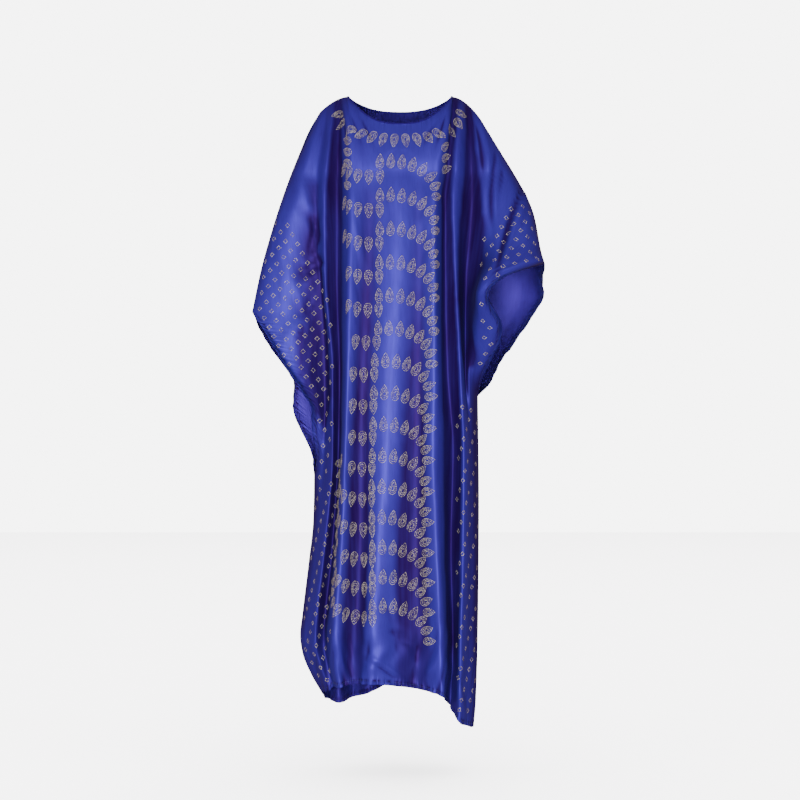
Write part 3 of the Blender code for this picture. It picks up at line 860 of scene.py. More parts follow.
    def _surface(self, left: Array, right: Array) -> Array:
        """The smooth surface: each row a monotone curve through the fold lines' points.

        Above the yoke each column runs from the top edge to the yoke row. Across and height go
        evenly, and depth rounds the shoulder as a power of s(2 - s), s being the share of the way.

        Args:
            left: the left edge's points, in mm.
            right: the right edge's points.

        Returns:
            (row, column, 3) array in metres.
        """
        inner = []
        for fold in self.folds:
            start = float(top_edge(np.array(float(fold.start)), self.side)[1])
            heights = self._heights(start, fold.hem)
            inner.append(np.column_stack([course(fold.course, heights), heights]))
            inner[-1][0] = (fold.start, 0.0, start)
        lines = [left] + [self._beside(left, inner[0], *shape) for shape in EDGE_LINES]
        lines += inner + [self._beside(right, inner[-1], *shape) for shape in reversed(EDGE_LINES)]
        lines = np.array(lines + [right])
        knots = np.arange(len(lines), dtype=float)
        places = np.linspace(0, knots[-1], (len(lines) - 1) * self.columns + 1)
        surface = monotone(knots, lines, places).transpose(1, 0, 2)
        starts = lines[:, 0, 0]
        across = monotone(knots, starts, places)
        on_neck = np.flatnonzero(np.abs(starts) <= NECK_HALF_WIDTH)
        inside = (places >= knots[on_neck[0]]) & (places <= knots[on_neck[-1]])
        angles = np.arccos(-starts[on_neck] / NECK_HALF_WIDTH)
        across[inside] = -NECK_HALF_WIDTH * np.cos(monotone(knots[on_neck], angles, places[inside]))
        self.neck_columns = np.flatnonzero(inside)
        top = np.column_stack([across, *top_edge(across, self.side)])
        yoke = surface[len(self.shares)]
        rounding = 1 - (1 - SHOULDER_ROUNDING) * np.clip(np.abs(across) / NECK_HALF_WIDTH, 0, 1) ** 2
        share = self.shares[:, None]
        block = top + (yoke - top) * share[..., None]
        block[..., 1] = top[:, 1] + (yoke - top)[:, 1] * (share * (2 - share)) ** rounding
        surface[:len(self.shares), 1:-1] = block[:, 1:-1]
        surface[..., 1] += self._rounding(surface[..., 1])
        surface[0] = top
        return surface * MM

    def _rounding(self, depth: Array) -> Array:
        """What rounds the crests: a row's running mean less its depth, dying out at edges and top.

        Args:
            depth: (row, column) array of depths in mm.

        Returns:
            What is added to them.
        """
        rows, columns = depth.shape
        reach = len(ROUNDING_WEIGHTS) // 2
        padded = np.pad(depth, ((0, 0), (reach, reach)), mode="reflect", reflect_type="odd")
        mean = sum(weight * padded[:, k:k + columns] for k, weight in enumerate(ROUNDING_WEIGHTS))
        from_side = np.minimum(np.arange(columns), np.arange(columns)[::-1])
        from_top = np.arange(rows)[:, None]
        set_in = smoothstep(0, ROUNDING_FROM_SIDE, from_side)
        return (mean - depth) * set_in * smoothstep(0, ROUNDING_FROM_TOP, from_top)

    def _normals(self, surface: Array, sewn_left: Array, sewn_right: Array) -> Array:
        """Outward normals, which lie in the seam's own plane along a seam.

        Args:
            surface: (row, column, 3) array in metres.
            sewn_left: which rows are sewn at the left edge.
            sewn_right: which rows are sewn at the right edge.

        Returns:
            (row, column, 3) array of unit vectors.
        """
        across, down = np.gradient(surface, axis=1), np.gradient(surface, axis=0)
        normals = unit(np.cross(across, down) * self.side.value)
        for column, sewn, outward in ((0, sewn_left, -1.0), (-1, sewn_right, 1.0)):
            run = np.gradient(surface[:, column], axis=0)
            flat = np.column_stack([-run[:, 2] * outward, np.zeros(len(run)), run[:, 0] * outward])
            normals[sewn, column] = unit(flat)[sewn]
        shoulder = np.abs(surface[0, :, 0]) >= NECK_HALF_WIDTH * MM - HAIR
        run = np.gradient(surface[0], axis=0)
        flat = unit(np.column_stack([-run[:, 2], np.zeros(len(run)), run[:, 0]]))
        normals[0, shoulder] = flat[shoulder]
        return normals

    def _cloth_coordinates(self, surface: Array) -> Array:
        """(across, down) of each point in the cloth: arc length along its row and down its column.

        Args:
            surface: (row, column, 3) array in metres.

        Returns:
            (row, column, 2) array in metres.
        """
        across = np.linalg.norm(np.diff(surface, axis=1), axis=2)
        across = np.concatenate([np.zeros((self.rows, 1)), np.cumsum(across, axis=1)], axis=1)
        line = course(self.centre_line, surface[:, surface.shape[1] // 2, 2] / MM)[:, 0] * MM
        rising = np.maximum.accumulate(surface[..., 0], axis=1)
        columns = np.arange(surface.shape[1])
        middle = np.array([np.interp(x, row, columns) for x, row in zip(line, rising)])
        self.middle = middle
        zero = np.array([np.interp(m, columns, row) for m, row in zip(middle, across)])
        down = np.linalg.norm(np.diff(surface, axis=0), axis=2)
        down = np.concatenate([np.zeros((1, surface.shape[1])), np.cumsum(down, axis=0)])
        return np.stack([across - zero[:, None], down], axis=2)

    def _relief(self, surface: Array, sewn_left: Array, sewn_right: Array) -> tuple[Array, Array]:
        """Small height of the cloth over the smooth surface, and each point's way to a free edge.

        Long low ripples run down the cloth, creases are added as ridges and grooves, the hems
        pucker between their stitches and the neck edge is gathered. All of it dies out at the seams.

        Args:
            surface: the smooth surface.
            sewn_left: which rows are sewn at the left edge.
            sewn_right: which rows are sewn at the right edge.

        Returns:
            Height in metres, and distance in metres.
        """
        across, down = self.cloth[..., 0], self.cloth[..., 1]
        from_left, from_right = across - across[:, :1], across[:, -1:] - across
        from_hem = down[-1:] - down
        from_neck = np.where(np.abs(surface[:1, :, 0]) < NECK_HALF_WIDTH * MM, down, FAR)
        left, right = sewn_left[:, None], sewn_right[:, None]
        from_cuff = np.minimum(np.where(left, FAR, from_left), np.where(right, FAR, from_right))
        from_edge = np.minimum(from_hem, from_cuff)
        height = self.long_rise * self._ripples(*LONG_RIPPLES)
        height += self.fine_rise * self._ripples(*FINE_RIPPLES)
        everywhere, near_hem = self.loose_rise
        loose = everywhere + near_hem * smoothstep(*self.loose_hem, from_hem)
        height += loose * MM * self._ripples(*LOOSE_RIPPLES)
        for crease in CREASES[self.side]:
            height += crease.height(surface)
        turned = smoothstep(self.hem_width + 2 * MM, self.hem_width - 1 * MM, from_edge)
        stitched = np.exp(-((from_edge - self.hem_width) / self.stitch_reach) ** 2)
        # Share of painted shade along the stitch line, where the tucks are.
        self.tuck_painted_shade = np.exp(-((from_edge - self.hem_width) / (2 * self.stitch_reach)) ** 2)
        self.run = np.where((from_hem <= from_cuff) | (from_neck < 0.08), across, down)
        at_hem, at_neck = self.gather_reach
        self.gather = np.exp(-from_edge / at_hem) + 0.8 * np.exp(-from_neck / at_neck)
        pucker = self._puckers(self.run, *PUCKERS)
        near = np.exp(-from_edge / self.hem_reach)
        height += pucker * near * self.hem_rise * MM
        height += turned * self.turned_rise * MM - stitched * self.stitch_dip * MM
        gather = self._puckers(across, *GATHERS)
        fade = np.exp(-from_neck / self.neck_reach) * smoothstep(0.0, 3 * MM, from_neck)
        height += gather * fade * self.neck_rise * MM
        to_seam = np.minimum(np.where(left, from_left, FAR), np.where(right, from_right, FAR))
        on_shoulder = np.abs(surface[:1, :, 0]) >= NECK_HALF_WIDTH * MM - HAIR
        to_shoulder = np.where(on_shoulder, down, FAR)
        held = smoothstep(0, self.seam_reach, np.minimum(to_seam, to_shoulder))
        held = held * smoothstep(0, 2 * MM, from_neck)
        return height * held, from_edge

    def _puckers(self, along: Array, waves: int, shortest: float, longest: float, seed: int) -> Array:
        """An irregular wave along one coordinate of the cloth, as a row of its table gives it."""
        return ripple(np.stack([along, 0 * along], axis=2), waves, shortest, longest, self.seed + seed)

    def _ripples(self, down: float, shortest: float, longest: float, seed: int) -> Array:
        """Irregular ripples over the panel, as a row of the table of ripples gives them."""
        places = np.stack([self.cloth[..., 0], self.cloth[..., 1] * down], axis=2)
        return ripple(places, WAVES, shortest, longest, self.seed + seed)

    def _valleys(
        self, heights: Array, step: float, reach: int, depths: tuple[float, float], lone: float = 0.0
    ) -> Array:
        """How deep each point lies in a valley of its row, from 0 to 1.

        On each side it takes the highest point within reach steps along the row, and measures how
        far this point lies below each. The valley's depth is the root of their product, plus a
        small share of the larger one for the painted shade beside a lone ridge.

        Args:
            heights: height of each point.
            step: metres between the even samples that the work is done on.
            reach: how many steps are looked over on each side.
            depths: depths in metres where the answer leaves 0 and reaches 1.
            lone: that small share.

        Returns:
            The share at each point.
        """
        arcs = self.cloth[..., 0]
        even = np.arange(arcs.min(), arcs.max(), step)
        rows = np.array([np.interp(even, arc, row) for arc, row in zip(arcs, heights)])
        padded = np.pad(rows, ((0, 0), (reach, reach)), mode="edge")
        width = len(even)
        left = np.max([padded[:, k:k + width] for k in range(reach + 1)], axis=0)
        right = np.max([padded[:, k + reach:k + reach + width] for k in range(reach + 1)], axis=0)
        left, right = left - rows, right - rows
        depth = smoothstep(*depths, np.sqrt(left * right) + lone * np.maximum(left, right))
        blur = np.array([1, 3, 4, 3, 1]) / 12
        depth = np.array([np.convolve(np.pad(row, 2, mode="edge"), blur, "valid") for row in depth])
        return np.array([np.interp(arc, even, row) for arc, row in zip(arcs, depth)])

    def _painted_shade(self) -> Array:
        """Painted shade of each point, from 0 to 1: that of the folds, and on top of it that of the
        creases.

        Returns:
            (row, column) array of shares.
        """
        outward = self.outer[..., 1] * self.side.value
        folds = self._valleys(outward, *self.fold_look, self.fold_depths, self.lone_shade)
        from_hem = self.cloth[-1:, :, 1] - self.cloth[..., 1]
        less, start, full = self.hem_lit
        folds *= 1 - less * smoothstep(start, full, from_hem)
        creases = self._valleys(self.relief, *self.crease_look, self.crease_depths)
        return 1 - (1 - folds) * (1 - self.crease_shade * creases)

    def area(self) -> float:
        """Area of the outer surface in square metres.

        Returns:
            The area.
        """
        right = np.diff(self.outer, axis=1)[:-1]
        down = np.diff(self.outer, axis=0)[:, :-1]
        return float(np.linalg.norm(np.cross(right, down), axis=2).sum())

    def build(self, finish: bpy.types.Material) -> bpy.types.Object:
        """Makes the closed wall of cloth, with its turned hems, in place of the CAD node.

        Args:
            finish: the satin.

        Returns:
            The panel's object.
        """
        turned = smoothstep(self.hem_width + 1 * MM, self.hem_width - 1 * MM, self.from_edge)
        thickness = self.wall + self.hem_extra * turned * smoothstep(0, 1.2 * MM, self.from_edge)
        inner = self.outer - self.normals * thickness[..., None]
        rows, columns = self.outer.shape[:2]
        count = rows * columns
        index = np.arange(count).reshape(rows, columns)
        rim = np.concatenate([index[0, :-1], index[:-1, -1], index[-1, :0:-1], index[:0:-1, 0]])
        following = np.roll(rim, -1)
        band = [rim, following, following + count, rim + count]
        back = self.side is Side.BACK
        faces = np.concatenate([
            grid_faces(index, back),
            grid_faces(index + count, not back),
            np.stack(band[::-1] if back else band, axis=1),
        ])
        points = np.concatenate([self.outer.reshape(-1, 3), inner.reshape(-1, 3)])
        cloth = np.concatenate([self.cloth.reshape(-1, 2)] * 2)
        panel = mesh_object(f"{self.node}_panel", points, faces, cloth)
        # Painted shade: by the folds and creases outside, and an even one inside.
        inside = np.full(count, self.inside_shade)
        paint(panel, "painted_shade", np.concatenate([self.painted_shade.ravel(), inside]))
        for name, values in (("gather", self.gather), ("tuck_painted_shade", self.tuck_painted_shade), ("run", self.run)):
            paint(panel, name, np.tile(values.ravel(), 2))
        panel.data.materials.append(finish)
        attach(panel, "root")
        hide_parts(self.node)
        log.info("%s: %d faces, %.3f square metres of cloth", panel.name, len(faces), self.area())
        return panel

    # Places on the cloth.

    def tables(self) -> None:
        """Makes the tables that find rows and columns of places, and the cloth's two directions."""
        columns = np.arange(self.outer.shape[1])
        rows = np.arange(self.rows)
        arcs = np.arange(ARC_LOW, ARC_HIGH, TABLE_STEP)
        fars = np.arange(FAR_LOW, FAR_HIGH, TABLE_STEP)
        heights = np.arange(HEIGHT_LOW, HEIGHT_HIGH, TABLE_STEP)
        rising = np.maximum.accumulate(self.outer[..., 0], axis=1) + np.arange(len(columns)) * 1e-9
        self.column_by_arc = np.array([np.interp(arcs, row, columns) for row in self.cloth[..., 0]])
        self.column_by_far = np.array([
            np.interp(fars, row, columns, left=-1, right=1e4) for row in rising])
        falling = self.outer[::-1, :, 2].T
        self.row_by_height = np.array([np.interp(heights, line, rows[::-1]) for line in falling])
        downs = np.arange(0, DOWN_HIGH, TABLE_STEP)
        self.row_by_down = np.array([np.interp(downs, line, rows) for line in self.cloth[..., 1].T])
        self.to_right = unit(np.gradient(self.outer, axis=1))
        self.to_hem = unit(np.gradient(self.outer, axis=0))

    def sample(self, grid: Array, row: Array, column: Array) -> Array:
        """Bilinear value of a grid at fractional rows and columns.

        Args:
            grid: array whose first two axes are rows and columns.
            row: fractional rows.
            column: fractional columns.

        Returns:
            The value at each place.
        """
        r = np.clip(row, 0, grid.shape[0] - 1.001)
        c = np.clip(column, 0, grid.shape[1] - 1.001)
        r0, c0 = r.astype(int), c.astype(int)
        fr, fc = r - r0, c - c0
        if grid.ndim == 3:
            fr, fc = fr[..., None], fc[..., None]
        upper = grid[r0, c0] * (1 - fc) + grid[r0, c0 + 1] * fc
        lower = grid[r0 + 1, c0] * (1 - fc) + grid[r0 + 1, c0 + 1] * fc
        return upper * (1 - fr) + lower * fr

    def find(self, across: Array, height: Array, by_arc: bool) -> tuple[Array, Array]:
        """Finds fractional rows and columns of places on the cloth.

        Row and column are worked out in turn, each from its table at the other's last value.

        Args:
            across: cloth distance from the centre line, or plain distance from the middle, metres.
            height: height in metres.
            by_arc: which of the two across is.

        Returns:
            Rows and columns. A column is outside the grid where plain across misses the cloth.
        """
        table = self.column_by_arc if by_arc else self.column_by_far
        low = ARC_LOW if by_arc else FAR_LOW
        column = np.full(len(across), float(np.mean(self.middle)))
        for _ in range(6):
            at = (height - HEIGHT_LOW) / TABLE_STEP
            row = self.sample(self.row_by_height, np.clip(column, 0, self.outer.shape[1] - 1), at)
            column = self.sample(table, row, (across - low) / TABLE_STEP)
        return row, column


@dataclass(frozen=True)
class Crease:
    """A ridge pressed or pulled in the cloth, as a soft bell across a line of given length."""

    across: float  # middle of the crease, mm
    height_mm: float
    angle: float  # degrees from level, rising to the right
    length: float
    width: float
    rise: float  # mm, below zero for a groove
    bend: float = 0.0  # mm that its middle is bowed

    def height(self, surface: Array) -> Array:
        """Height of the crease over each point, in metres.

        Args:
            surface: (row, column, 3) array in metres.

        Returns:
            (row, column) array.
        """
        turn = np.radians(self.angle)
        dx = surface[..., 0] / MM - self.across
        dz = surface[..., 2] / MM - self.height_mm
        along = (dx * np.cos(turn) + dz * np.sin(turn)) / self.length
        off = (-dx * np.sin(turn) + dz * np.cos(turn) - self.bend * (1 - 4 * along**2)) / self.width
        return self.rise * MM * np.exp(-off**2) * np.exp(-((2.0 * along) ** 2))


# across, height, angle, length, width, rise, bend
CREASES: dict[Side, tuple[Crease, ...]] = {
    Side.FRONT: (
        # the hem's middle
        Crease(-5, -1186, -31, 70, 6, -3.4, 2),
        Crease(-1, -1175, -31, 80, 7, 2.6, 3),
        Crease(-20, -1262, -38, 90, 5, 3.4, 3),
        Crease(-27, -1271, -38, 90, 5, -3.4, 3),
        Crease(-12, -1279, -30, 60, 5, 2.6, -2),
        Crease(-8, -1287, -30, 60, 5, -2.2, -2),
        Crease(-104, -1235, 86, 200, 16, -6.5, 5),
        Crease(-132, -1230, 88, 200, 13, 3.6, 4),
        Crease(39, -1250, 80, 170, 13, -6.0, 4),
        Crease(-70, -1211, 80, 60, 8, -3.4, 2),
        Crease(-25, -1150, -72, 90, 9, -3.2, 6),
        Crease(14, -1225, -60, 90, 11, 3.0, 5),
        Crease(70, -1262, 70, 90, 9, 3.0, 3),
        Crease(-50, -1240, 52, 90, 12, 2.6, 4),
        # the neck's sides
        Crease(-102, -57, -68, 90, 6, -4.4, 3),
        Crease(-91, -50, -66, 80, 5, 3.2, 3),
        Crease(-80, -62, -60, 80, 6, -3.6, 3),
        Crease(-68, -72, -56, 60, 5, 2.4, 3),
        Crease(-116, -74, -80, 120, 6, 3.2, 3),
        Crease(-126, -60, -84, 100, 6, -3.4, 2),
        Crease(97, -56, 69, 100, 7, -4.6, 3),
        Crease(85, -58, 66, 90, 6, 3.4, 3),
        Crease(74, -66, 58, 80, 6, -3.4, 3),
        Crease(108, -50, 80, 80, 6, 2.8, 2),
        Crease(118, -62, 84, 90, 6, -3.0, 2),
        # the right sleeve
        Crease(264, -266, 70, 230, 7, 7.0, 7),
        Crease(252, -268, 70, 230, 8, -9.0, 7),
        Crease(234, -320, 60, 90, 8, -4.0, 5),
        Crease(207, -196, 87, 140, 6, -4.5, 3),
        Crease(216, -200, 87, 140, 6, 3.4, 3),
        Crease(224, -180, 80, 80, 7, -2.0, 2),
        Crease(177, -100, -83, 120, 9, -4.6, 4),
        Crease(190, -110, -80, 130, 8, 3.0, 4),
        Crease(301, -342, 45, 32, 6, -2.6, 1),
        Crease(286, -300, 58, 90, 8, -2.0, -4),
        Crease(222, -340, 64, 110, 9, 2.4, 4),
        Crease(188, -560, 70, 90, 8, 2.2, 3),
        # the left sleeve
        Crease(-179, -330, 80, 30, 5, 5.4, 1),
        Crease(-186, -367, 33, 44, 5, -4.0, 2),
        Crease(-190, -392, 42, 60, 5, 3.2, 3),
        Crease(-197, -275, -60, 80, 8, -4.0, 4),
        Crease(-200, -460, 62, 70, 6, -4.0, 3),
        Crease(-208, -520, 70, 90, 6, 3.2, 3),
        Crease(-240, -420, -66, 150, 9, 2.5, 8),
        Crease(-262, -330, -58, 150, 9, 2.3, -8),
        Crease(-225, -505, 48, 120, 8, 2.7, 6),
        Crease(-214, -610, 66, 120, 7, 2.9, -4),
        Crease(-222, -200, -74, 190, 12, 2.5, 6),
        Crease(-196, -352, 33, 50, 5, 3.2, 2),
        Crease(-205, -378, 28, 60, 6, -3.0, 2),
        Crease(-190, -300, 76, 90, 6, -3.4, 3),
        # the body
        Crease(0, -760, 8, 120, 9, 1.0, 4),
        Crease(-60, -900, -12, 110, 9, 1.0, 4),
        Crease(20, -1010, 16, 110, 9, 1.0, -4),
    ),
    Side.BACK: (
        Crease(-60, -1235, -30, 100, 9, 2.2, 5),
        Crease(40, -1250, 26, 100, 8, 2.0, -4),
        Crease(-150, -1260, 84, 170, 12, -4.0, 4),
        Crease(0, -700, 10, 120, 9, 0.9, 4),
        Crease(-30, -180, 60, 110, 8, 1.4, 4),
        Crease(60, -190, -58, 110, 8, 1.4, -4),
        Crease(-240, -420, 66, 150, 9, 1.8, 8),
        Crease(-205, -480, 60, 90, 6, -2.0, 3),
        Crease(262, -300, -62, 110, 10, 1.9, 5),
        Crease(-222, -590, 50, 120, 8, 1.8, -4),
        Crease(240, -520, -50, 120, 8, 1.8, -4),
        Crease(96, -30, 67, 70, 6, -2.4, 3),
        Crease(-98, -32, -64, 70, 6, -2.4, 3),
        Crease(177, -100, -83, 120, 8, -3.0, 4),
        Crease(-180, -120, 80, 130, 8, -2.4, 4),
    ),
}


@dataclass
class NeckBinding:
    """The bound neck edge: a narrow folded strip sewn round it, slightly gathered."""

    front: ClothPanel
    back: ClothPanel
    width: float = 5.0 * MM
    thickness: float = 2.6 * MM
    wall: float = 0.5 * MM
    overlap: float = 1.4 * MM  # how far the fold reaches down over the cloth's edge
    lean_side: float = 34.0
    lean_centre: float = 60.0
    section: int = 15
    inset: float = 0.75 * MM  # from the cloth's outside to the fold's middle
    swell: tuple[float, float] = (0.12, 0.04)  # shares that gathers add to thickness and width
    gathers: Puckers = (5, 0.006, 0.012, 21)
    step_round: float = 0.9 * MM  # from one point of the section to the next, in the cloth
    # An even painted shade over the whole binding.
    shade: float = 0.12
    gathered: float = 0.7
    flat: tuple[float, float] = (0.67, 0.011)

    def _section(self) -> Array:
        """The folded strip's section: shares of the half thickness and of the half width.

        It goes round the upper 5/6 of a superellipse of power 4 and back along an inner one.

        Returns:
            (point, 2) array.
        """
        turn = np.linspace(-np.pi / 3, np.pi * 4 / 3, self.section)
        ring = np.column_stack([np.cos(turn), np.sin(turn)])
        ring = np.sign(ring) * np.abs(ring) ** 0.5
        size = np.array([self.thickness, self.width]) / 2
        return np.concatenate([ring, (ring * (1 - self.wall / size))[::-1]])

    def build(self, finish: bpy.types.Material) -> bpy.types.Object:
        """Makes the strip, folded over and open below, carried round the neck edge.

        Its long axis leans inwards from the edge, and its size swells and shrinks a little with
        the gathers.

        Args:
            finish: the satin of the binding.

        Returns:
            The strip's object.
        """
        front = self.front.outer[0, self.front.neck_columns]
        back = self.back.outer[0, self.back.neck_columns]
        edge = np.concatenate([front[:-1], back[:0:-1]])
        edge[[0, len(front) - 1], 1] = 0.0
        reach = np.where(edge[:, 1] < 0, NECK_FRONT_REACH, NECK_BACK_REACH)
        slopes = np.column_stack([NECK_HALF_WIDTH**-2.0 + 0 * reach, reach**-2.0, 0 * reach])
        inward = unit(-edge * slopes)  # across the oval's own line
        share = np.abs(edge[:, 0]) / (NECK_HALF_WIDTH * MM)
        more = self.lean_centre - self.lean_side
        lean = np.radians(self.lean_side + more * (1 - share**2))[:, None]
        run = unit(np.roll(edge, -1, axis=0) - np.roll(edge, 1, axis=0))
        up = inward * np.cos(lean) + np.array([0.0, 0.0, 1.0]) * np.sin(lean)
        up = unit(up - run * np.sum(up * run, axis=1, keepdims=True))
        out = np.cross(run, up)
        length = np.concatenate([[0], np.cumsum(np.linalg.norm(np.diff(edge, axis=0), axis=1))])
        gather = ripple(np.column_stack([length, 0 * length]), *self.gathers)[:, None, None]
        section = self._section()
        thicker, wider = self.swell
        wide = self.thickness / 2 * section[None, :, :1] * (1 + thicker * gather)
        tall = -self.overlap + self.width / 2 * (1 + section[None, :, 1:] * (1 + wider * gather))
        centre = (edge - out * self.inset)[:, None]
        points = centre + out[:, None] * wide + up[:, None] * tall
        index = np.arange(len(edge) * len(section)).reshape(len(edge), len(section))
        closed = np.concatenate([index, index[:1]])
        closed = np.concatenate([closed, closed[:, :1]], axis=1)
        faces = grid_faces(closed, False)
        round_it = np.arange(len(section)) * self.step_round
        cloth = np.stack(np.broadcast_arrays(length[:, None], round_it[None]), axis=2)
        cloth = cloth.reshape(-1, 2)
        binding = mesh_object("neck_binding_strip", points.reshape(-1, 3), faces, cloth)
        count = len(edge) * len(section)
        for name, value in (("painted_shade", self.shade), ("gather", self.gathered), ("tuck_painted_shade", 0.0)):
            paint(binding, name, np.full(count, value))
        paint(binding, "run", np.repeat(length, len(section)))
        binding.data.materials.append(finish)
        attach(binding, "root")
        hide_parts("neck_binding")
        log.info("%s: %d faces, %.3f m round the neck", binding.name, len(faces), length[-1])
        return binding


@dataclass
class Stitching:
    """Rows of machine stitches that hold the turned hems and cuffs."""

    panel: ClothPanel
    inset: float = 8.0 * MM
    pitch: float = 3.4 * MM
    length: float = 2.5 * MM
    width: float = 0.55 * MM
    height: float = 0.32 * MM
    dip: float = -0.6  # height of a stitch's ends, as a share of its own
    top: float = 0.45  # length of its level top, as a share of its own

    def _rows(self) -> list[tuple[Array, Array]]:
        """Fractional rows and columns along each line of stitches, inset from the free edges.

        Returns:
            A pair of arrays for each line.
        """
        panel = self.panel
        rows, columns = panel.outer.shape[:2]
        down = panel.cloth[..., 1]
        across = panel.cloth[..., 0]
        every = np.arange(columns, dtype=float)
        every_row = np.arange(rows)
        at = [np.interp(line[-1] - self.inset, line, every_row) for line in down.T]
        lines = [(np.array(at), every)]
        for sign, arm, seam in ((1, OVERARM_LEFT, SIDE_LEFT), (-1, OVERARM_RIGHT, SIDE_RIGHT)):
            column = 0 if sign > 0 else columns - 1
            heights = panel.outer[:, column, 2] / MM
            open_rows = np.flatnonzero((heights < arm[-1][0]) & (heights > seam[0][0]))
            found = [
                np.interp(across[r, column] + sign * self.inset, across[r], every) for r in open_rows]
            lines.append((open_rows.astype(float), np.array(found)))
        return lines

    def build(self, finish: bpy.types.Material) -> bpy.types.Object:
        """Makes every stitch as a small block whose ends dip into the cloth.

        Args:
            finish: the thread.

        Returns:
            The object of all the panel's stitches.
        """
        panel = self.panel
        places, heads, ups = [], [], []
        for row, column in self._rows():
            path = panel.sample(panel.outer, row, column)
            length = np.concatenate([[0], np.cumsum(np.linalg.norm(np.diff(path, axis=0), axis=1))])
            steps = np.arange(self.pitch, length[-1] - self.pitch, self.pitch)
            r, c = np.interp(steps, length, row), np.interp(steps, length, column)
            place = panel.sample(panel.outer, r, c)
            places.append(place)
            heads.append(unit(np.gradient(place, axis=0)))
            ups.append(unit(panel.sample(panel.normals, r, c)))
        place, head, up = map(np.concatenate, (places, heads, ups))
        across = unit(np.cross(up, head))
        head = np.cross(across, up)
        # Each row is a corner: share of the half length, of the half width, and of the height.
        dip, top = self.dip, self.top
        block = np.array([
            (-1, -1, dip), (-1, 1, dip), (-top, -1, 1), (-top, 1, 1),
            (top, -1, 1), (top, 1, 1), (1, -1, dip), (1, 1, dip)])
        block = block * np.array([self.length / 2, self.width / 2, self.height])
        points = (
            place[:, None]
            + head[:, None] * block[None, :, :1]
            + across[:, None] * block[None, :, 1:2]
            + up[:, None] * block[None, :, 2:]
        )
        quads = np.array([(0, 2, 3, 1), (2, 4, 5, 3), (4, 6, 7, 5), (0, 1, 7, 6)])
        sides = np.array([(0, 6, 4, 2), (1, 3, 5, 7)])
        block_faces = np.concatenate([quads, sides])
        faces = (np.arange(len(place))[:, None, None] * 8 + block_faces[None, :, ::-1]).reshape(-1, 4)
        stitches = mesh_object(f"{panel.node}_hem_stitches", points.reshape(-1, 3), faces)
        stitches.data.materials.append(finish)
        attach(stitches, "root")
        log.info("%s: %d stitches", stitches.name, len(place))
        return stitches


@dataclass(frozen=True)
class StudFigure:
    """A figure of studs in its own flat frame: offsets across and up, in metres."""

    width: float = 17.2 * MM
    length: float = 32.5 * MM
    point: float = 0.8  # power that draws the tip out
    pitch: float = 2.3 * MM
    diamond: float = 9.5 * MM
    rounds: tuple[float, ...] = (1.0, 0.68, 0.36)
    eye: float = -0.10  # height of the drop's eye, as a share of its length

    def offsets(self, motif: Motif) -> Array:
        """The figure's studs."""
        return self._drop() if motif is Motif.DROP else self._diamond()

    def _drop(self) -> Array:
        """Rounds of studs in a leaf drop.

        Each outline is x = sin(t) sin(t/2)^p and y = cos(t), with its tip at t = 0, spaced evenly
        along its length. The inner rounds shrink towards the eye, which lies low in the drop.

        Returns:
            (stud, 2) array in metres.
        """
        t = np.linspace(0, 2 * np.pi, 400)
        x = np.sin(t) * np.abs(np.sin(t / 2)) ** self.point
        outline = np.column_stack([x / x.max() * self.width / 2, np.cos(t) * self.length / 2])
        eye = np.array([0.0, self.eye * self.length])
        rounds = []
        for scale in self.rounds:
            path = (outline - eye) * scale + eye
            length = np.concatenate([[0], np.cumsum(np.linalg.norm(np.diff(path, axis=0), axis=1))])
            count = max(int(length[-1] / self.pitch), 6)
            at = np.arange(count) * length[-1] / count
            rounds.append(np.column_stack([np.interp(at, length, path[:, k]) for k in (0, 1)]))
        return np.concatenate(rounds)

    def _diamond(self) -> Array:
        """Twelve studs round a square that stands on its corner.

        Returns:
            (stud, 2) array in metres.
        """
        corners = np.array([(0, 1), (1, 0), (0, -1), (-1, 0), (0, 1)]) * self.diamond / 2
        return np.concatenate([
            a + (b - a) * np.arange(3)[:, None] / 3 for a, b in zip(corners[:-1], corners[1:])])


# Columns of drops below the two ends of the neck's row: across, height of the first, how many.
SHOULDER_COLUMNS = ((-118.0, -92.0, 5), (101.0, -105.0, 3))

# The diamonds' lattices: (across, height) of their two steps, in mm.
LEFT_SLEEVE_STEPS = ((11.2, -20.8), (-15.3, -14.5))
RIGHT_SLEEVE_STEPS = ((-11.2, -20.8), (15.3, -14.5))
SIDE_STEPS = ((-5.8, -21.0), (20.1, -7.4))

# Where they are: below a slanting line, given by places across and its heights there, outside a
# place across, and above a lowest height on the sleeves or below a highest one down the sides.
LEFT_SLEEVE_LIMIT = ((-345, -256, -153, -150), (-111, -267, -447, -452))
RIGHT_SLEEVE_LIMIT = ((172, 245, 345), (-330, -228, -200))
LEFT_SLEEVE_INNER, LEFT_SLEEVE_END = -150, -840
RIGHT_SLEEVE_INNER, RIGHT_SLEEVE_END = 176, -660
LEFT_SIDE_INNER, LEFT_SIDE_TOP = -140, -850
LEFT_SIDE_RETREAT = 12  # mm further out near the hem
RIGHT_SIDE_INNER, RIGHT_SIDE_TOP = 124, -675


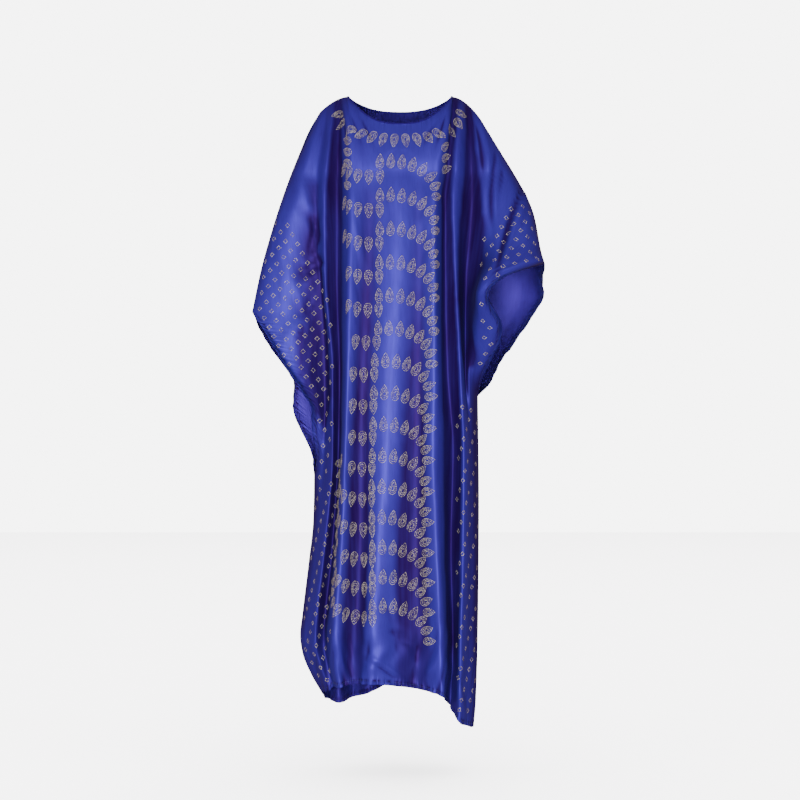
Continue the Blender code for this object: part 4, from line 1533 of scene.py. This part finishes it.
@dataclass
class Studs:
    """The studs of one panel: arched rows of leaf drops down it, and small diamonds beside them."""

    panel: ClothPanel
    figure: StudFigure = StudFigure()
    radius: float = 1.08 * MM
    rise: float = 0.5 * MM
    sides: int = 5
    rows: int = 15
    arch_width: float = 134.0
    arch_drop: float = 88.0
    arch_power: float = 1.2
    drops: int = 8
    along: float = 24.8  # mm from one drop of an arch to the next
    apart: float = 21.0 * MM  # the least distance between the middles of two drops
    crown: float = 0.62  # radius of the flat crown, as a share of the stud's
    sunk: float = -0.12 * MM  # height of the stud's rim over the cloth
    arch_lift: float = 3.0  # mm that the arch rises beside its middle
    first_row: float = -140.0  # mm, height of the uppermost arch
    row_step: float = 75.8  # mm from that arch to the next
    closing: float = 0.43  # mm by which half a step shrinks from each arch to the next
    between: float = 0.455  # place of a left arch between two right ones, as a share of the step
    deep_fold: tuple[float, float] = (-112.0, -85.0)  # mm across, above and below the bend
    deep_fold_bend: float = -330.0  # mm
    deep_fold_end: float = -800.0  # mm
    neck_half_width: float = 139.0  # mm, of the row of drops round the neck
    neck_top: float = -28.0
    neck_falls: tuple[float, float] = (66.0, 40.0)  # mm, in front and behind
    column_step: float = 25.0  # mm from one drop to the next below the neck's ends
    column_tilt: float = 1.25  # radians
    body_margin: float = 12 * MM
    neck_margin: float = 8 * MM
    diamond_margin: float = 15 * MM

    def _arch(self) -> tuple[Array, Array, Array]:
        """Offsets and tilts of the drops of one right-hand arch.

        The arch is x = W sin(a), z = -D (1 - cos(a))^p, with the drops spaced evenly along it, each
        turned to point straight out of the arch.

        Returns:
            Across and down offsets in mm, and the tilt of each tip from up towards the right.
        """
        a = np.linspace(0, np.pi / 2, 300)
        x = self.arch_width * np.sin(a)
        z = self.arch_lift * np.sin(2 * a) - self.arch_drop * (1 - np.cos(a)) ** self.arch_power
        length = np.concatenate([[0], np.cumsum(np.hypot(np.diff(x), np.diff(z)))])
        at = np.minimum(np.arange(self.drops) * self.along, length[-1])
        slope = np.arctan2(-np.gradient(z), np.gradient(x))
        return np.interp(at, length, x), np.interp(at, length, z), np.interp(at, length, slope)

    def _body_drops(self) -> tuple[Array, Array, Array]:
        """Places of all drops of the body: across in the cloth, height and tilt of the tip.

        Arches spread to the right from the centre line with their tips up and out. Between them the
        same arch, turned half round, spreads to the left.

        Returns:
            Across and height in metres, and tilt in radians.
        """
        k = np.arange(self.rows)
        levels = self.first_row - self.row_step * k + self.closing * k**2
        gaps = self.row_step - 2 * self.closing * k
        x, z, tilt = self._arch()
        across = np.concatenate([np.tile(x, self.rows), -np.tile(x, self.rows)])
        height = np.concatenate([
            (levels[:, None] + z).ravel(), ((levels - self.between * gaps)[:, None] - z).ravel()])
        turn = np.concatenate([np.tile(tilt, self.rows), np.tile(tilt + np.pi, self.rows)])
        if self.panel.side is Side.FRONT:  # its left ends lie inside the deep fold beside the sleeve
            fold = np.where(height > self.deep_fold_bend, *self.deep_fold)
            inside = (across < fold) & (height > self.deep_fold_end)
            across, height, turn = across[~inside], height[~inside], turn[~inside]
        return across * MM, height * MM, turn

    def _neck_drops(self) -> tuple[Array, Array, Array]:
        """Places of the row of drops that follows the neck edge, by plain across, height and tilt.

        Returns:
            Across and height in metres, and tilt in radians.
        """
        front = self.panel.side is Side.FRONT
        a = np.linspace(0, np.pi, 721)
        fall = self.neck_falls[0 if front else 1]
        x, z = -self.neck_half_width * np.cos(a), self.neck_top - fall * np.sin(a)
        length = np.concatenate([[0], np.cumsum(np.hypot(np.diff(x), np.diff(z)))])
        at = np.linspace(0, length[-1], int(length[-1] / self.along) + 1)
        tilt = np.arctan2(np.gradient(z), np.gradient(x)) + np.pi
        (left_x, left_z, left_drops), (right_x, right_z, right_drops) = SHOULDER_COLUMNS
        left, right = np.arange(left_drops), np.arange(right_drops)
        step, turn = self.column_step, self.column_tilt
        x = np.concatenate([np.interp(at, length, x), left_x + 0 * left, right_x + 0 * right])
        z = np.concatenate([np.interp(at, length, z), left_z - step * left, right_z - step * right])
        turned = np.concatenate([-turn + 0.0 * left, turn + 0.0 * right])
        tilt = np.concatenate([-np.interp(at, length, tilt), turned])
        return x * MM, z * MM, tilt

    def _lattice(self, step: tuple[float, float], other: tuple[float, float]) -> Array:
        """A lattice of (across, height) places over the whole robe, in mm.

        Args:
            step: across and height of one step, in mm.
            other: across and height of the other step.

        Returns:
            (place, 2) array in mm.
        """
        steps = np.arange(-110, 111)
        i, j = np.meshgrid(steps, steps)
        x = i * step[0] + j * other[0]
        z = i * step[1] + j * other[1] - 700
        keep = (np.abs(x) < 345) & (z < 0) & (z > -1410)
        return np.column_stack([x[keep], z[keep]])

    def _diamonds(self) -> tuple[Array, Array]:
        """Places of the diamonds: over both sleeves below a slanting line, and down both sides.

        Returns:
            Across and height in metres.
        """
        left = self._lattice(*LEFT_SLEEVE_STEPS)
        limit = np.interp(left[:, 0], *LEFT_SLEEVE_LIMIT)
        on_sleeve = (left[:, 0] < LEFT_SLEEVE_INNER) & (left[:, 1] > LEFT_SLEEVE_END)
        left = left[on_sleeve & (left[:, 1] < limit)]
        right = self._lattice(*RIGHT_SLEEVE_STEPS)
        limit = np.interp(right[:, 0], *RIGHT_SLEEVE_LIMIT)
        on_sleeve = (right[:, 0] > RIGHT_SLEEVE_INNER) & (right[:, 1] > RIGHT_SLEEVE_END)
        right = right[on_sleeve & (right[:, 1] < limit)]
        low = self._lattice(*SIDE_STEPS)
        limit = LEFT_SIDE_INNER - LEFT_SIDE_RETREAT * smoothstep(-1000, -1180, low[:, 1])
        low_left = low[(low[:, 0] < limit) & (low[:, 1] < LEFT_SIDE_TOP)]
        low_right = low[(low[:, 0] > RIGHT_SIDE_INNER) & (low[:, 1] < RIGHT_SIDE_TOP)]
        places = np.concatenate([left, right, low_left, low_right]) * MM
        return places[:, 0], places[:, 1]

    def _on_cloth(
        self, across: Array, height: Array, by_arc: bool, margin: float
    ) -> tuple[Array, Array, Array]:
        """Rows and columns of places on the cloth, and which of them keep clear of its edges.

        Args:
            across: places across, in metres.
            height: their heights, in metres.
            by_arc: whether across runs along the cloth from its centre line.
            margin: the least distance from an edge or seam, in metres.

        Returns:
            Rows, columns, and which places keep clear.
        """
        row, column = self.panel.find(across, height, by_arc)
        inside = (column > 1) & (column < self.panel.outer.shape[1] - 2)
        inside &= (row > 4) & (row < self.panel.rows - 2)
        column = np.clip(column, 0, self.panel.outer.shape[1] - 1.01)
        edge = self.panel.sample(self.panel.from_edge, row, column)
        across_row = self.panel.cloth[..., 0]
        here = self.panel.sample(across_row, row, column)
        first = np.interp(row, np.arange(self.panel.rows), across_row[:, 0])
        last = np.interp(row, np.arange(self.panel.rows), across_row[:, -1])
        clear = np.minimum(here - first, last - here)
        return row, column, inside & (edge > margin) & (clear > margin)

    def _stamp(self, row: Array, column: Array, tilt: Array, motif: Motif) -> Array:
        """Sets a figure at each place and returns every stud's row and column.

        A stud's offset is split between the cloth's own two directions, which aren't quite square
        to each other: d = a R + b D, R being the way along the row and D the way to the hem. Then
        a is stepped along the row and b down the column, by the cloth's arc lengths.

        Args:
            row: fractional rows of the figures' middles.
            column: their fractional columns.
            tilt: tilt of each figure in radians, to the right.
            motif: which figure.

        Returns:
            (stud, 2) array of rows and columns.
        """
        panel = self.panel
        offsets = self.figure.offsets(motif)
        right = unit(panel.sample(panel.to_right, row, column))
        hem = unit(panel.sample(panel.to_hem, row, column))
        skew = np.sum(hem * right, axis=1)[:, None]
        sine, cosine = np.sin(tilt)[:, None], np.cos(tilt)[:, None]
        x = offsets[:, 0] * cosine + offsets[:, 1] * sine
        z = -offsets[:, 0] * sine + offsets[:, 1] * cosine
        down = -z / np.sqrt(1 - skew**2)
        along = x - down * skew
        rows = np.broadcast_to(row[:, None], along.shape)
        here = panel.sample(panel.cloth[..., 0], row, column)[:, None] + along
        columns = panel.sample(panel.column_by_arc, rows, (here - ARC_LOW) / TABLE_STEP)
        below = panel.sample(panel.cloth[..., 1], rows, columns) + down
        rows = panel.sample(panel.row_by_down, columns, below / TABLE_STEP)
        return np.column_stack([rows.ravel(), columns.ravel()])

    def _piece(self, name: str, places: Array, finish: bpy.types.Material) -> bpy.types.Object:
        """Makes one mesh of low domes, each a ring on the cloth, a shoulder ring and a flat crown.

        Args:
            name: name of the piece.
            places: (stud, 2) array of rows and columns.
            finish: the studs' metal.

        Returns:
            The piece's object.
        """
        panel = self.panel
        row, column = places.T
        keep = (row > 0) & (row < panel.rows - 1) & (column > 0) & (column < panel.outer.shape[1] - 1)
        row, column = row[keep], column[keep]
        place = panel.sample(panel.outer, row, column)
        up = unit(panel.sample(panel.normals, row, column))
        right = unit(panel.sample(np.gradient(panel.outer, axis=1), row, column))
        right = unit(right - up * np.sum(right * up, axis=1, keepdims=True))
        other = np.cross(up, right)
        turn = np.linspace(0, 2 * np.pi, self.sides, endpoint=False)
        rings = ((self.radius, self.sunk), (self.radius * self.crown, self.rise))
        points = np.concatenate([
            place[:, None]
            + right[:, None] * (radius * np.cos(turn))[None, :, None]
            + other[:, None] * (radius * np.sin(turn))[None, :, None]
            + up[:, None] * lift
            for radius, lift in rings], axis=1)
        n = self.sides
        around = np.arange(n)
        after = (around + 1) % n
        wall = np.column_stack([around, after, after + n, around + n])
        start = np.arange(len(place))[:, None, None] * (2 * n)
        faces = (start + wall[None]).reshape(-1, 4).tolist()
        crown = (start[:, 0] + np.arange(n, 2 * n)[None]).tolist()
        studs = mesh_object(name, points.reshape(-1, 3), faces + crown)
        studs.data.materials.append(finish)
        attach(studs, "root")
        log.info("%s: %d studs", name, len(place))
        return studs

    def _spaced(self, places: Array, fits: Array) -> Array:
        """Which of the places that fit also keep apart from every earlier one that is kept.

        Args:
            places: (place, 3) array in metres.
            fits: which places fit on the cloth.

        Returns:
            Which places are kept.
        """
        kept = np.zeros(len(places), bool)
        for k in np.flatnonzero(fits):
            apart = np.linalg.norm(places[kept] - places[k], axis=1)
            kept[k] = not kept.any() or apart.min() > self.apart
        return kept

    def build(self, finish: bpy.types.Material) -> list[bpy.types.Object]:
        """Makes the studs of the panel in three pieces.

        Args:
            finish: the studs' metal.

        Returns:
            The three objects.
        """
        self.panel.tables()
        node = self.panel.node
        across, height, body_tilt = self._body_drops()
        body = self._on_cloth(across, height, True, self.body_margin)
        across, height, neck_tilt = self._neck_drops()
        neck = self._on_cloth(across, height, False, self.neck_margin)
        row, column, fits = (np.concatenate(pair) for pair in zip(body, neck))
        tilt = np.concatenate([body_tilt, neck_tilt])
        fits = self._spaced(self.panel.sample(self.panel.outer, row, column), fits)
        order = np.arange(len(row))
        half, whole = self.rows * self.drops, len(body_tilt)
        groups = (order < half, (order >= half) & (order < whole), order >= whole)
        right, left, neck = (
            self._stamp(row[group & fits], column[group & fits], tilt[group & fits], Motif.DROP)
            for group in groups)
        pieces = [
            self._piece(f"{node}_right_drops", right, finish),
            self._piece(f"{node}_left_drops", left, finish)]
        row, column, fits = self._on_cloth(*self._diamonds(), False, self.diamond_margin)
        small = self._stamp(row[fits], column[fits], np.zeros(fits.sum()), Motif.DIAMOND)
        pieces.append(self._piece(f"{node}_diamonds", np.concatenate([neck, small]), finish))
        return pieces


@dataclass(frozen=True)
class SoftLight:
    """A soft square area light."""

    name: str
    place: Triple
    turn: Triple  # degrees
    size: float
    power: float
    colour: Triple = (1.0, 1.0, 1.0)

    def build(self, only: Sequence[bpy.types.Object] = ()) -> None:
        """Sets the light, which lights everything or some objects only.

        Args:
            only: the objects that it lights, or none for everything.
        """
        data = bpy.data.lights.new(self.name, "AREA")
        data.energy, data.size, data.color = self.power, self.size, self.colour
        light = bpy.data.objects.new(self.name, data)
        light.location = self.place
        light.rotation_euler = np.radians(self.turn).tolist()
        if only:
            lit = bpy.data.collections.new(f"{self.name}_lights")
            for thing in only:
                lit.objects.link(thing)
            light.light_linking.receiver_collection = lit
        bpy.context.scene.collection.objects.link(light)


@dataclass
class Studio:
    """Plain pale floor, soft light from the front, and the camera."""

    floor_height: float = -1.50
    floor_half: float = 9.0
    key: SoftLight = SoftLight(
        "key", (-0.3, -4.9, -0.55), (88.6, 0.0, -3.5), 1.9, 198.0, (0.87, 1.0, 1.0))
    low: SoftLight = SoftLight(
        "low", (-0.35, -4.6, -1.15), (91.0, 0.0, -4.4), 0.6, 88.0, (0.93, 0.97, 1.0))
    back: SoftLight = SoftLight(
        "back", (0.5, 4.9, -0.5), (92.0, 0.0, 174.2), 1.9, 150.0, (0.87, 1.0, 1.0))
    wash: SoftLight = SoftLight("wash", (0.0, 0.0, 3.2), (0.0, 0.0, 0.0), 26.0, 16000.0)
    on_cloth: Colour = (0.30, 0.19, 0.30, 1.0)  # what the surroundings throw at the cloth
    backdrop: Colour = (6.5, 6.5, 6.5, 1.0)
    lens: float = 100.0
    sensor: float = 36.0
    distance: float = 5.0
    aim_height: float = -0.666

    def build(self, behind: Sequence[bpy.types.Object]) -> None:
        """Sets the floor, lights, surroundings and camera.

        Args:
            behind: the back's pieces, which have a light of their own.
        """
        floor = self._floor()
        self.key.build()
        self.low.build()
        self.back.build(behind)
        self.wash.build([floor])
        self._surroundings()
        self._camera()

    def _floor(self) -> bpy.types.Object:
        """A wide level floor.

        Returns:
            Its object.
        """
        half = self.floor_half
        corners = np.array([(-half, -half, 0), (half, -half, 0), (half, half, 0), (-half, half, 0)])
        corners = corners + np.array([0, 0, self.floor_height])
        floor = mesh_object("studio_floor", corners, [[0, 1, 2, 3]])
        floor.data.materials.append(StudioFinish("studio_paper").build())
        floor.visible_diffuse = floor.visible_glossy = False  # no light thrown up at the cloth
        return floor

    def _surroundings(self) -> None:
        """Even light all round: white where it is seen, dim and slightly violet on the cloth."""
        world = bpy.data.worlds.new("studio")
        bpy.context.scene.world = world
        world.use_nodes = True
        tree = world.node_tree
        seen = tree.nodes.new("ShaderNodeLightPath")
        background = tree.nodes["Background"]
        colour = tree.nodes.new("ShaderNodeMix")
        colour.data_type = "RGBA"
        colour.inputs["A"].default_value = self.on_cloth
        colour.inputs["B"].default_value = self.backdrop
        tree.links.new(seen.outputs["Is Camera Ray"], colour.inputs["Factor"])
        tree.links.new(colour.outputs["Result"], background.inputs["Color"])

    def _camera(self) -> None:
        """The camera, level and straight in front."""
        data = bpy.data.cameras.new("camera")
        data.lens, data.sensor_width = self.lens, self.sensor
        camera = bpy.data.objects.new("camera", data)
        camera.location = (0.0, -self.distance, self.aim_height)
        camera.rotation_euler = (np.pi / 2, 0.0, 0.0)
        bpy.context.scene.collection.objects.link(camera)
        bpy.context.scene.camera = camera


def main() -> None:
    logging.basicConfig(level=logging.INFO, format="%(name)s %(message)s")
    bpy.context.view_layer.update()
    satin = SatinFinish("royal_blue_satin_cloth").build()
    bound = SatinFinish(
        "binding_blue_satin_cloth", lit=(0.036, 0.014, 0.26, 1.0), roughness=0.46).build()
    metal = StudFinish("champagne_studs").build()
    thread = ThreadFinish("blue_thread").build()
    front = ClothPanel(
        "front", Side.FRONT, FRONT_FOLDS, CUFF_FRONT_LEFT, CUFF_FRONT_RIGHT, CENTRE_LINE_FRONT,
        flat=(1.34, 1.42), flat_area=0.94)
    back = ClothPanel(
        "back", Side.BACK, BACK_FOLDS, CUFF_BACK_LEFT, CUFF_BACK_RIGHT, CENTRE_LINE_BACK,
        flat=(1.34, 1.42), flat_area=0.96, columns=16, seed=11)
    pieces = {}
    for panel, sides in ((front, 5), (back, 4)):
        pieces[panel.side] = [panel.build(satin), Stitching(panel).build(thread)]
        pieces[panel.side] += Studs(panel, sides=sides).build(metal)
    NeckBinding(front, back).build(bound)
    Studio().build(pieces[Side.BACK])


if __name__ == "__main__":
    main()
